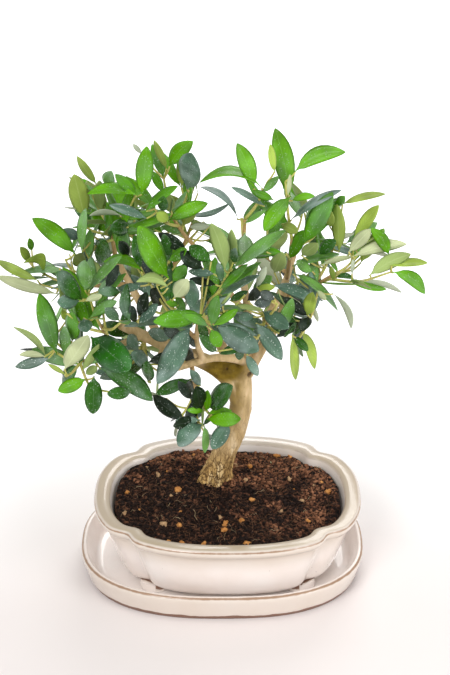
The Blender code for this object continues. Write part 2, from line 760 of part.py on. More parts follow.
def plan_twigs(mass, limb_lines, section, limb_tests, placed):
    """A mass's stem and those of its shoots that touch nothing, as lines and closed meshes."""
    hub = Vector(mass.hub) * MM
    seat = seat_on_limb(mass, limb_lines[mass.limb], hub)
    far_limbs = [test for name, test in limb_tests.items() if name != mass.limb]
    lines = [shoot_line(seat, hub, lift) for lift in STEM_BENDS]
    stem = clear_twig(mass.name + "_stem", lines, TWIG_RADII, section, far_limbs + placed)
    if stem is None:
        raise RuntimeError(mass.name + ": the stem touches a neighbour")
    twigs = [stem]
    ends = [Vector(tip) for tip in mass.tips] + added_tips(mass)
    for index, tip in enumerate(ends):
        share = 1.0 - SHOOT_SPREAD * index / max(1, len(ends) - 1)
        start = along(stem[0], share)[0]
        lines = [shoot_line(start, tip * MM, lift) for lift in SHOOT_BENDS]
        name = mass.name + "_shoot_" + str(index)
        shoot = clear_twig(name, lines, SHOOT_RADII, section, list(limb_tests.values()) + placed)
        if shoot is None:
            print(name, "is left out")
            continue
        twigs.append(shoot)
    return twigs


def leaf_places(mass, line, draw):
    """Root, heading, facing and length of each leaf along a shoot, in crossed pairs."""
    length = sum((after - before).length for before, after in zip(line, line[1:]))
    pairs = max(2, int(length / LEAF_SPACING))
    roll = draw.uniform(0.0, math.pi)
    last_pair = 1.0 - TIP_MARGIN / length
    for pair in range(pairs + 1):
        share = FIRST_PAIR + (last_pair - FIRST_PAIR) * pair / pairs
        point, heading = along(line, share)
        side = heading.orthogonal().normalized()
        side.rotate(Matrix.Rotation(roll + pair * math.pi / 2, 3, heading))
        lean = LEAF_LEANS[0] + (LEAF_LEANS[1] - LEAF_LEANS[0]) * pair / pairs
        for way in (-1, 1):
            turned = side * way + UP * LEAF_RISE
            out = heading * math.cos(lean) + turned.normalized() * math.sin(lean)
            facing = heading + UP
            size = mass.leaf * MM * draw.uniform(*LEAF_SIZES)
            yield point + heading * PAIR_OFFSET * way - out * ROOT_DEPTH, out, facing, size


def roomy_leaf(blank, root, way, facing, size, skip):
    """A leaf with the clearance added all round, less a stretch beside its root."""
    width = size * LEAF_WIDTH_SHARE + LEAF_CLEARANCE
    thickness = LEAF_THICKNESS + LEAF_CLEARANCE
    length = size + LEAF_CLEARANCE - skip
    return polygons_of(blank, leaf_matrix(root + way * skip, way, facing, length, width, thickness))


def grow_leaves(mass, twigs, blank, neighbours):
    """The leaves of a mass that keep to its space and touch nothing, as closed meshes."""
    draw = random.Random(mass.seed * 7 + 1)
    own = TouchTest()
    leaves = []
    for line, _ in twigs[1:]:
        for root, heading, facing, size in leaf_places(mass, line, draw):
            for turn in LEAF_TURNS:
                way = heading.copy()
                way.rotate(Matrix.Rotation(turn, 3, facing.normalized()))
                if not inside_reach(root + way * size, mass):
                    continue
                roomy = roomy_leaf(blank, root, way, facing, size, 0.0)
                if any(test.touches(*roomy) for test in neighbours):
                    continue
                if own.touches(*roomy_leaf(blank, root, way, facing, size, PETIOLE)):
                    continue
                width = size * LEAF_WIDTH_SHARE
                placed = leaf_matrix(root, way, facing, size, width, LEAF_THICKNESS)
                own.add(*polygons_of(blank, placed))
                mesh = blank.copy()
                mesh.transform(placed)
                leaves.append(mesh)
                break
    return leaves, own


def make_foliage(group, grown):
    """Every mass: a stem cut clear of its limb, shoots and leaves, joined into one body."""
    section = three_sided()
    blank = leaf_blank()
    limb_lines = {limb.name: limb_line(limb) for limb in LIMBS}
    limb_tests = {}
    for name, mesh in grown.items():
        limb_tests[name] = TouchTest()
        limb_tests[name].add(*polygons_of(mesh))
    plans = {}
    twig_tests = {}
    for mass in MASSES:
        placed = list(twig_tests.values())
        plans[mass.name] = plan_twigs(mass, limb_lines, section, limb_tests, placed)
        twig_tests[mass.name] = TouchTest()
        for _, mesh in plans[mass.name]:
            twig_tests[mass.name].add(*polygons_of(mesh))
    leaf_tests = {}
    total = 0
    for mass in MASSES:
        twigs = plans[mass.name]
        others = [test for name, test in twig_tests.items() if name != mass.name]
        others += list(leaf_tests.values())
        leaves, own = grow_leaves(mass, twigs, blank, list(limb_tests.values()) + others)
        leaf_tests[mass.name] = own
        total += len(leaves)
        stem = combine(twigs[0][1], [mesh.copy() for mesh in grown.values()], "DIFFERENCE")
        mesh = combine(stem, [mesh for _, mesh in twigs[1:]] + leaves, "UNION")
        mesh.name = mass.name
        add_object(mass.name, mesh, group, mass.colour, 0.45, smooth=False)
    bpy.data.objects.remove(section)
    print("leaves in all", total)


def main():
    clear_scene()
    group = new_collection("olive_bonsai")
    cutters = new_collection("cutters")
    make_tray(group)
    make_pot(group, cutters)
    make_soil(group)
    trunk = make_trunk(group)
    grown = make_limbs(group, trunk)
    make_foliage(group, grown)


main()
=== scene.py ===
"""A small olive bonsai in its glazed pot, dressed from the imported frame: glaze, peat, bark and leaves.

Lengths in the tables are millimetres, and everything that is built is in metres. Pixels are those of a
450 by 675 picture taken from the camera that the stage sets up.
"""

import math
import random
from collections import namedtuple
from functools import lru_cache

import bmesh
import bpy
from bpy.props import FloatProperty, FloatVectorProperty, IntProperty, PointerProperty
from mathutils import Matrix, Vector, noise
from mathutils.bvhtree import BVHTree


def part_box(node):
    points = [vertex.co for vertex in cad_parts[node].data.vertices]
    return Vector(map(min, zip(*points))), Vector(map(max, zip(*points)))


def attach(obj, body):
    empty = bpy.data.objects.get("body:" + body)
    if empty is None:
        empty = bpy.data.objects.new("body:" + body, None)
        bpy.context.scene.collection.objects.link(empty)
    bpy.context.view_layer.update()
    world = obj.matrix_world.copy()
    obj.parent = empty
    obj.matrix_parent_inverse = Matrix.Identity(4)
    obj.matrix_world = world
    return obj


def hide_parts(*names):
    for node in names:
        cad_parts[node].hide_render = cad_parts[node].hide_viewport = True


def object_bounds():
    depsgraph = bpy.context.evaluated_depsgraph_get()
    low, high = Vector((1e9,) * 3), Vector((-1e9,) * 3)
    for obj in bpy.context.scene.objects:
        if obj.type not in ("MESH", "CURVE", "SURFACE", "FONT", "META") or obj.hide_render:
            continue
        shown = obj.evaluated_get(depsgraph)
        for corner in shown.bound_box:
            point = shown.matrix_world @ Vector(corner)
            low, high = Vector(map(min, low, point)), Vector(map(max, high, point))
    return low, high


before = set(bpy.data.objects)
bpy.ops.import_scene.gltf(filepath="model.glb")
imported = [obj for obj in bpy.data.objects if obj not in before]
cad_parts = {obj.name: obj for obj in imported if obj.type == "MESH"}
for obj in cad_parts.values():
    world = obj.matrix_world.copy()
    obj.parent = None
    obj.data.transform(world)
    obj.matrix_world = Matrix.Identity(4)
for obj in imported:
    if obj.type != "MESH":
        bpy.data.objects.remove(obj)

bl_info = {
    "name": "Olive Bonsai",
    "version": (1, 0, 0),
    "blender": (4, 5, 0),
    "location": "View3D > Sidebar > Bonsai",
    "description": "Glaze, peat, bark and leaves of a small potted olive",
    "category": "Object",
}

CAD_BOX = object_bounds()
BODY = "root"
MM = 0.001
UP = Vector((0.0, 0.0, 1.0))

# Camera
VIEW_POINT = Vector((0.0016, -0.7662, 0.5239))
VIEW_DIP = math.radians(26.467)
VIEW_FOCAL = 1600.0
PICTURE = (450, 675)
SENSOR = 36.0

# Sky and floor of the studio
FLOOR_HALF = 30.0
FLOOR_DROP = 0.0002
FLOOR_NEAR = (0.0, -0.15, 0.0)
FLOOR_FADE = (0.15, 0.36)
FLOOR_GLOW_FADE = (0.20, 0.60)
FLOOR_FAR_COLOUR = (0.97, 0.97, 0.97)
LIGHT_AIM = Vector((0.0, 0.0, 0.14))
Lamp = namedtuple("Lamp", "name at size")
LAMPS = (
    Lamp("key", (-0.40, -0.85, 0.85), 0.45),
    Lamp("fill", (0.75, -0.70, 0.50), 0.60),
    Lamp("back", (0.20, 0.80, 0.90), 0.60),
)

# Drip tray
TRAY_LOW, TRAY_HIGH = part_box("drip_tray")
TRAY_HALF = ((TRAY_HIGH.x - TRAY_LOW.x) / 2, (TRAY_HIGH.y - TRAY_LOW.y) / 2)
TRAY_HEIGHT = TRAY_HIGH.z
TRAY_FOOT_INSET = 0.0045
TRAY_FOOT_HEIGHT = 0.0020
TRAY_EDGE = 0.0012
TRAY_RIM = 0.0034
TRAY_RIM_SWELL = 0.0004
TRAY_RIM_DEPTH = 0.0040
TRAY_RIM_INNER = (0.0006, 0.0016)
TRAY_FLOOR = 0.004
TRAY_FLOOR_EDGE = 0.0030
TRAY_FLOOR_DEPTH = 0.0200
TRAY_ROUNDNESS = 2.5

# Pot
POT_LOW, POT_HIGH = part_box("pot")
POT_CENTRE = ((POT_LOW.x + POT_HIGH.x) / 2, (POT_LOW.y + POT_HIGH.y) / 2)
POT_HALF = ((POT_HIGH.x - POT_LOW.x) / 2, (POT_HIGH.y - POT_LOW.y) / 2)
POT_TOP = POT_HIGH.z
POT_FEET = POT_LOW.z
POT_BODY = POT_FEET + 0.0038
POT_FLOOR = POT_BODY + 0.0045
POT_BASE_INSET = 0.0135
POT_BASE_ROUND = 0.0030
POT_BASE_DEPTH = 0.010
POT_LIP_WIDTH = 0.0095
POT_LIP_DROP = 0.0055
POT_LIP_OVERHANG = 0.0042
POT_LIP_ROUND = 0.0020
POT_LIP_SHOULDER = 0.7
POT_THROAT_DEPTH = 0.0080
POT_WALL = 0.0050
POT_WALL_SWELL = 0.0015
POT_ROUNDNESS = 2.45
POT_NOTCH_DEPTH = 0.052
POT_NOTCH_ANGLE = math.radians(38.7)
POT_NOTCH_SPREAD = math.radians(5.0)
POT_STEPS = 288
FOOT_RADIUS = 0.0085
FOOT_STEPS = 48
FOOT_AT = (0.040, 0.030)
FOOT_SINK = 0.0010
FOOT_BARE_GAP = 0.0002
DRAIN_RADIUS = 0.0055
DRAIN_SPACING = 0.052

# Glazed surface: the spacing of its rings, how far corners are cut, and the waver of a hand-made wall
GLAZE_STEP = 0.0009
CORNER_CUT = 0.0012
CORNER_SHARE = 0.25
CORNER_ROUNDS = 2
WAVER_SCALE = 30.0
WAVER_DEPTH = 0.00018
GLAZE_SHARP = math.radians(55)

# Corners on which the glaze breaks brown, where it is bare, and where painted shade darkens it: on the lip's
# top, together with the lip's own ivory, on the upper wall under the lip and on the tray's wall
Break = namedtuple("Break", "inset height reach strength")
TRAY_BREAKS = (Break(0.0008, TRAY_HEIGHT - 0.0005, 0.0014, 1.0),)
POT_BREAKS = (
    Break(0.0004, POT_TOP - 0.0011, 0.00115, 1.0),
    Break(POT_LIP_WIDTH, POT_TOP - 0.0016, 0.0016, 0.62),
    Break(0.0010, POT_TOP - POT_LIP_DROP, 0.0012, 0.60),
)
TRAY_BARE = (0.0044, 0.0012)
TRAY_SHADE = 0.45
TRAY_SHADE_INSET = (0.0026, 0.0012)
LIP_SHADE_DROP = (0.003, 0.001)
LIP_SHADE_INSET = (0.0008, 0.0022)
WALL_SHADE = 0.52
WALL_SHADE_DROP = (0.028, 0.008)
WALL_SHADE_INSET = 0.004

# Soil
SOIL_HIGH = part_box("soil")[1]
SOIL_EDGE = POT_TOP - 0.0050
SOIL_SEAT_TOP = SOIL_EDGE + 0.0038
SOIL_INSET = 0.0116
SOIL_FLOOR_GAP = 0.0004
SOIL_WALL_GAP = 0.0005
SOIL_EDGE_GAP = 0.0004
SOIL_MARGIN = 0.0012
SOIL_RINGS = 46
SOIL_STEPS = 216
SOIL_SEAT = 0.0100
SOIL_SLOPE = 0.8
SOIL_HEAVE = 0.0009
SOIL_HEAVE_SPACING = 0.017
SOIL_HEAVE_TWISTS = (0.5, 0.4)
SOIL_HEAVE_STRETCH = 0.9
SOIL_HEAP = 0.0026
SOIL_HEAP_AT = (-0.030, 0.030)
SOIL_HEAP_SPREAD = 0.030
SOIL_LUMP = 0.0010
SOIL_LUMP_SCALE = 130.0
SOIL_EDGE_LUMP = 0.35
SOIL_RING_CLOSING = (0.985, 0.9)
SOIL_SAME_WAY = 0.9995
SOIL_SEED = 5
CRUMBS = 6400
CRUMB_SIZES = (0.00026, 0.0012)
CRUMB_FINENESS = 2.4
CRUMB_RED = 0.43
CRUMB_RED_FROM = (0.005, 0.010)
CRUMB_RED_SLOPE = (17.0, 23.0)
CRUMB_RED_PATCH = 2.0
CRUMB_RED_PATCH_SCALE = 75.0
CRUMB_RED_SPREAD = 0.40
CRUMB_BROWN_FROM = 0.4
CRUMB_RED_ABOVE = 0.85
GRIT = 44
GRIT_SIZES = (0.0007, 0.0019)
GRIT_LOOKS = ("grit_orange",) * 12 + ("grit_tan",) * 6 + ("grit_pale",)
LUMP_STRETCHES = ((0.7, 1.4), (0.7, 1.2), (0.5, 0.95))
LUMP_ROUGHNESS = 0.8
LUMP_ROUGH_SCALE = 1.3
LUMP_LIFT = 0.25
FIBRES = 900
FIBRE_LENGTHS = (0.002, 0.009)
FIBRE_RADII = (0.00008, 0.00022)
FIBRE_STEPS = 5
FIBRE_BEND = 0.6
FIBRE_LIFT = 0.0013
FIBRE_PALE_SHARE = 0.06
FIBRE_RINGS = 9
FIBRE_SIDES = 5
FIBRE_TAPER = 0.5

# Trunk and boughs, as they are in the frame
TRUNK_FOOT = Vector((-4.7 * MM, 14.5 * MM, 0.0))
TRUNK_SINK = 0.0006
TRUNK_CLEARANCE = 0.0075
TRUNK_LINE = (
    (0.6, 13.5, 62.0),
    (7.2, 12.3, 79.0),
    (10.0, 11.2, 93.0),
    (10.6, 10.2, 106.0),
    (10.0, 9.4, 117.0),
)
TRUNK_RINGS = 60
TRUNK_SIDES = 56
TRUNK_RADIUS = 0.0060
TRUNK_TAPER = (1.06, 0.96)
TRUNK_FLARE = 0.0030
TRUNK_FLARE_HEIGHT = 0.0100
TRUNK_LEVEL_HEIGHT = 0.0120
ROOT_LOBES = 5
ROOT_LOBE_DEPTH = 0.17
ROOT_LOBE_TURN = 0.6

# Bark: heights above the peat at which a look ends, how far each form stands out, and its painted shade
BARK_VOXEL = 0.00042
BARK_SMOOTHING = 6
BARK_TRUNK_END = (0.072, 0.064)
BARK_OLD_END = (0.034, 0.006)
BARK_WORN_END = (0.060, 0.030)
BARK_WORN_AGE = 0.25
BARK_CRACK_SCALES = (560.0, 230.0)
BARK_CRACK_WIDTH = 0.20
BARK_PLATE_SCALES = (330.0, 190.0)
BARK_PLATE = 0.0007
BARK_FISSURE = 0.0009
BARK_SWELL_SCALE = 70.0
BARK_SWELL_FROM = Vector((9.0, 0.0, 4.0))
BARK_SWELL = 0.00032
BARK_FINE_SCALE = 900.0
BARK_FINE = 0.00007
KNOT_REACH = 2.2
KNOT_RING = 0.62
KNOT_RING_WIDTH = 0.33
KNOT_RISE = 0.16
KNOT_HOLE = (1.6, 0.5)
KNOT_HOLE_EDGE = 0.0003
KNOT_HOLE_DEPTH = 0.9
KNOT_DENT = 0.0004
KNOT_SHADE = (0.6, 0.05)
SWELL_SHADE = 0.12
CRACK_SHADE = 0.5
MOSS_FADE = (1.15, 0.50)
# Olive moss with painted shade on the trunk's left-facing side: its strength, facing and heights
MOSS_AND_SHADE_SIDE = 0.72
MOSS_AND_SHADE_SIDE_FACING = (0.55, -0.4)
MOSS_AND_SHADE_SIDE_FROM = (0.026, 0.048)

Limb = namedtuple("Limb", "name line root tip")
LIMBS = (
    Limb("left", ((11, 9, 115), (-9, 8, 124), (-31, 2, 137), (-54, -6, 153)), 5.2, 2.4),
    Limb("centre", ((11, 9, 114), (13, 9, 132), (14, 6, 152), (10, 1, 184)), 3.6, 1.7),
    Limb("right", ((12, 9, 113), (22, 9, 132), (31, 5, 152), (34, 1, 176)), 3.4, 1.6),
    Limb("front", ((12, 8, 124), (6, -4, 132), (-6, -12, 136), (-23, -26, 138)), 2.6, 1.9),
    Limb("back_left", ((9, 11, 112), (-4, 28, 130), (-22, 44, 150), (-36, 52, 166)), 3.4, 1.6),
    Limb("back_right", ((12, 11, 112), (22, 28, 132), (34, 44, 152), (40, 52, 168)), 3.2, 1.5),
    Limb("left_high", ((-31, 2, 137), (-42, 4, 158), (-50, 5, 174), (-56, 5, 188)), 2.4, 1.4),
    Limb("left_low", ((-42, -2, 145), (-56, -14, 144), (-66, -24, 142)), 2.0, 1.3),
    Limb("front_riser", ((-10, -15, 136), (-13, -24, 152), (-12, -32, 168)), 1.9, 1.2),
    Limb("right_low", ((28, 7, 146), (36, 2, 151), (45, -5, 154)), 1.9, 1.3),
    Limb("crown", ((14, 6, 152), (0, 6, 172), (-14, 7, 192)), 1.9, 1.2),
)

# Pruned stubs and knots on the wood: a stub is a short stump, a knot a raised ring round a hole that painted
# shade darkens
STUBS = (
    ((-22, -25, 138), (-27.5, -29, 138.5), 1.9, 1.6),
    ((-8, -13, 136), (-15, -17, 143.5), 1.5, 1.2),
    ((30, 5, 150), (38, -3, 151), 1.3, 1.0),
    ((-30, 2, 137), (-34, -4, 133), 1.6, 1.3),
)
ARCH = ((10, 10.4, 97), (6.2, 9.8, 109), (-3.5, 8.8, 119.5), (-17, 6.8, 128))
ARCH_RADII = (5.3, 4.3)
LIMB_RINGS = 26
LIMB_SIDES = 24
ARCH_RINGS = 20
STUB_STEPS = 6
STUB_SIDES = 18
Knot = namedtuple("Knot", "at size hole")
KNOTS = (
    Knot((15.4, 5.4, 117.0), 3.2, 1.4),
    Knot((12.2, 3.8, 104.0), 2.0, 0.5),
    Knot((2.6, 5.0, 121.0), 2.2, 0.4),
    Knot((4.6, 8.0, 84.0), 2.2, 0.2),
    Knot((16.5, 11.0, 92.0), 2.0, 0.3),
    Knot((10.0, 16.6, 103.0), 2.4, 0.8),
)

# The mossy crotch: its centre and how far it goes each way
CROTCH = ((1.0, 5.0, 121.0), (16.0, 13.0, 10.5))

# Growth rule of the foliage
TWIG_RADII = (0.00125, 0.00085)
SHOOT_RADII = (0.00095, 0.00055)
SPUR_RADII = (0.00060, 0.00042)
TWIG_POINTS = 9
SEAT_SHARE = 0.6
STEM_SAG = 0.06
SHOOT_SAG = 0.10
SPUR_SAG = 0.12
STALK_SAG = 0.05
SHOOT_SPREAD = 0.42
CROWN_HEART = (-6.0, 6.0, 160.0)
ADDED_OUTWARD = 0.35
ADDED_REACH = 0.42
GOLDEN_ANGLE = math.radians(137.5)
LEAF_SPACING = 0.0088
LEAF_SIZES = (0.72, 1.06)
LEAF_LEANS = (math.radians(66), math.radians(30))
LEAF_RISE = 0.2
LEAF_TURNS = (0.0, 0.45, -0.45, 0.9, -0.9)
LEAF_WIDTH_SHARE = (0.29, 0.36)
LEAF_THICKNESS = 0.00042
LEAF_CLEARANCE = 0.0004
LEAF_LONGEST = 0.036
LEAF_SPRAY_SHARE = 0.72
LEAF_FOLDS = (0.12, 0.30)
GROWN_ARCHES = (-0.02, 0.06)
SET_ARCHES = (-0.03, 0.05)
STRIP_SKIP = 0.15
SET_STRIP_SKIP = 0.05
SET_BACKWARD_STEP = 2
SET_BACKWARD_TRIES = 16
STALK_SHORTEST = 0.0006
STALK_OVERLAP = 0.0008
TWIG_STEPS = 20
FIRST_PAIR = 0.12
SPUR_FIRST_PAIR = 0.5
SPUR_SHARE = 0.45
SPUR_SPACING = 0.012
SPUR_LENGTH = (0.010, 0.017)
SPUR_ROOM = 0.85
SPUR_STRETCH = (0.2, 0.6)
SPUR_WAY = (0.55, 0.8, 0.3)
LEAF_ROLL = 0.25
LEAF_LEAN_SPREAD = 0.15
LEAF_FACE_UP = (0.6, 1.3)
LEAF_FACE_SIDE = 0.5
TWIG_SIDES = 8
SHOOT_SIDES = 6
WORN_STEPS = 40
WORN_SHORTEST = 12
WORN_NEAR = 0.0008

Mass = namedtuple("Mass", "name limb at hub reach tips fill leaf seed tones age")
TOP_TONES = ("bright", "bright", "green", "mid")
SIDE_TONES = ("green", "bright", "mid", "waxy")
# The heart's tones include the near-black one, which is painted shade
HEART_TONES = ("dark", "waxy", "black", "dark", "mid")
BACK_TONES = ("green", "mid", "dark", "waxy", "bright")
MASSES = (
    Mass("far_left", "left_high", 0.62, (-78, 1, 174), (52, 42, 44),
         ((-99, 0, 184), (-85, 2, 195), (-94, -10, 178), (-70, 6, 186)), 0, 27, 11, SIDE_TONES, "young"),
    Mass("left_low", "left_low", 1.0, (-75, -30, 144), (44, 40, 38),
         ((-87, -30, 150), (-68, -36, 131), (-82, -46, 142)), 1, 26, 12, HEART_TONES, "middle"),
    Mass("left_front", "left_low", 0.45, (-62, -36, 168), (40, 40, 44),
         ((-66, -44, 188), (-50, -50, 176), (-78, -40, 176)), 1, 27, 13, SIDE_TONES, "middle"),
    Mass("top_left", "left_high", 1.0, (-58, 6, 204), (44, 40, 44),
         ((-67, 10, 219), (-44, -4, 225), (-78, 4, 210)), 1, 27, 14, TOP_TONES, "young"),
    Mass("top_middle", "crown", 1.0, (-26, 6, 210), (40, 40, 46),
         ((-30, 10, 229), (-16, 2, 229), (-34, -14, 222)), 1, 26, 15, TOP_TONES, "young"),
    Mass("centre_left", "front_riser", 0.55, (-24, -40, 178), (42, 42, 42),
         ((-32, -50, 196), (-40, -46, 184)), 2, 29, 16, HEART_TONES, "middle"),
    Mass("centre_front", "front_riser", 1.0, (-6, -46, 186), (44, 40, 44),
         ((3, -54, 204), (-10, -62, 184), (10, -58, 186)), 1, 27, 17, SIDE_TONES, "young"),
    Mass("top_centre", "centre", 1.0, (12, -3, 212), (44, 42, 48),
         ((23, -8, 234), (7, 0, 227), (12, -24, 220)), 1, 30, 18, TOP_TONES, "young"),
    Mass("top_right", "right", 1.0, (36, -6, 202), (44, 40, 62),
         ((32, -10, 235), (46, -5, 236), (52, -10, 215), (30, -26, 213)), 0, 29, 19, TOP_TONES, "young"),
    Mass("far_right", "right", 0.86, (58, -6, 182), (60, 40, 44),
         ((70, -10, 195), (87, -16, 188), (76, 8, 188), (60, -2, 202)), 0, 26, 20, TOP_TONES, "young"),
    Mass("right_low", "right_low", 1.0, (46, -12, 160), (34, 40, 44),
         ((44, -26, 171), (38, -20, 149), (48, -10, 174)), 1, 25, 21, HEART_TONES, "middle"),
    Mass("centre_right", "right", 0.45, (22, -22, 166), (40, 44, 40),
         ((28, -38, 180), (16, -40, 160), (34, -34, 162)), 1, 29, 22, HEART_TONES, "old"),
    Mass("low_cluster", "front", 0.87, (-12, -28, 118), (40, 38, 38),
         ((-14, -34, 112), (-4, -30, 110)), 2, 24, 23, HEART_TONES, "old"),
    Mass("heart_left", "left", 0.80, (-42, 4, 138), (40, 42, 40),
         ((-52, -10, 126), (-38, -18, 124)), 2, 27, 24, HEART_TONES, "old"),
    Mass("back_left", "back_left", 1.0, (-52, 60, 180), (50, 46, 48),
         ((-70, 64, 188), (-48, 70, 196)), 2, 28, 25, BACK_TONES, "middle"),
    Mass("back_left_low", "back_left", 0.62, (-40, 46, 146), (48, 46, 42),
         ((-60, 48, 148), (-44, 62, 142)), 2, 28, 26, HEART_TONES, "old"),
    Mass("back_top", "back_left", 0.84, (-16, 46, 190), (46, 44, 48),
         ((-22, 46, 210), (0, 42, 204)), 2, 27, 27, TOP_TONES, "young"),
    Mass("back_right", "back_right", 1.0, (50, 58, 182), (50, 46, 48),
         ((66, 60, 190), (44, 68, 198)), 2, 28, 28, BACK_TONES, "middle"),
    Mass("back_right_low", "back_right", 0.60, (38, 46, 150), (38, 46, 40),
         ((46, 48, 158), (38, 62, 146)), 2, 26, 29, HEART_TONES, "old"),
    Mass("back_middle", "back_right", 0.80, (18, 62, 168), (44, 44, 46),
         ((12, 72, 182), (4, 66, 162)), 2, 28, 30, BACK_TONES, "middle"),
)

# Colours of the ware, the wood and the peat, most of them from the darkest grain to the lightest
GLAZE_CLOUD = ((0.86, 0.77, 0.71), (0.91, 0.835, 0.79), (0.93, 0.885, 0.85))
# Darker ivory: the lip top's own tone, and the colour of the painted shade on the lip, the upper wall under
# it and the tray's wall
GLAZE_IVORY_AND_SHADE = (0.50, 0.405, 0.300)
GLAZE_BREAK = (0.30, 0.165, 0.085)
GLAZE_PIT = (0.10, 0.065, 0.045)
BARE_CLAY = (0.200, 0.098, 0.060)
BARK_SMOOTH = ((0.40, 0.280, 0.125), (0.60, 0.43, 0.225), (0.74, 0.56, 0.35))
BARK_ROUGH = ((0.30, 0.170, 0.050), (0.60, 0.375, 0.135), (0.86, 0.66, 0.36))
BARK_MOSS_AND_SHADE = ((0.13, 0.078, 0.003), (0.25, 0.160, 0.009))
BARK_CRACK = (0.125, 0.062, 0.020)
BARK_DOT = (0.30, 0.19, 0.10)
# Colour of the painted shade in cracks, knot holes and dips
BARK_HOLLOW_SHADE = (0.075, 0.040, 0.016)
TWIG_TONES = {
    "young": ((0.56, 0.46, 0.16), (0.42, 0.44, 0.085)),
    "old": ((0.30, 0.185, 0.075), (0.44, 0.29, 0.11)),
}
PEAT_TONES = ((0.004, 0.003, 0.003), (0.028, 0.013, 0.009), (0.17, 0.072, 0.040))

# Loose bits of the soil: dark and light colour, and roughness
LOOSE_TONES = {
    "crumb_black": ((0.004, 0.003, 0.003), (0.030, 0.016, 0.012), 0.85),
    "crumb_brown": ((0.040, 0.017, 0.010), (0.190, 0.080, 0.046), 0.9),
    "crumb_red": ((0.135, 0.055, 0.029), (0.36, 0.165, 0.088), 0.9),
    "fibre_brown": ((0.060, 0.028, 0.016), (0.17, 0.088, 0.050), 0.85),
    "fibre_pale": ((0.24, 0.16, 0.09), (0.40, 0.30, 0.18), 0.8),
    "grit_orange": ((0.36, 0.135, 0.030), (0.64, 0.30, 0.095), 0.7),
    "grit_tan": ((0.30, 0.17, 0.085), (0.52, 0.33, 0.18), 0.75),
    "grit_pale": ((0.34, 0.33, 0.17), (0.56, 0.52, 0.34), 0.7),
}

# Upper faces and undersides of leaves: colour, roughness, share of white specks with painted glints and of
# waxy bloom with painted sheen
UPPER_TONES = {
    # bright: vivid green, partly the leaf's own colour and partly painted glow of light through the leaf
    "bright": ((0.098, 0.292, 0.001), 0.30, 0.10),
    "light": ((0.285, 0.395, 0.060), 0.42, 0.0),
    "green": ((0.071, 0.232, 0.003), 0.30, 0.20),
    "glossy": ((0.013, 0.110, 0.001), 0.16, 0.18),
    "mid": ((0.109, 0.262, 0.045), 0.36, 0.40),
    "dark": ((0.023, 0.102, 0.006), 0.24, 0.42),
    "waxy": ((0.078, 0.156, 0.102), 0.32, 0.90),
    # black: near black, painted shade for leaves deep in the crown
    "black": ((0.004, 0.015, 0.003), 0.34, 0.25),
}
UNDER_TONES = {
    "pale": ((0.435, 0.485, 0.268), 0.55),
    "sage": ((0.268, 0.358, 0.114), 0.52),
    # olive: yellow-green, partly the underside's own colour and partly painted glow of light through the
    # leaf
    "olive": ((0.247, 0.330, 0.063), 0.50),
    "grey": ((0.405, 0.455, 0.330), 0.55),
}

# The tone of a leaf's other side
PARTNER_TONES = {
    "bright": "olive",
    "light": "pale",
    "green": "sage",
    "glossy": "sage",
    "mid": "sage",
    "dark": "sage",
    "waxy": "grey",
    "black": "grey",
    "pale": "green",
    "sage": "mid",
    "olive": "bright",
    "grey": "mid",
}

# White specks on a leaf's upper face, partly waxy specks and partly painted glints, and pale patches, partly
# waxy bloom and partly painted sheen
LEAF_SPECK_AND_GLINT = (0.62, 0.70, 0.64)
LEAF_BLOOM_AND_SHEEN = (0.38, 0.47, 0.46)

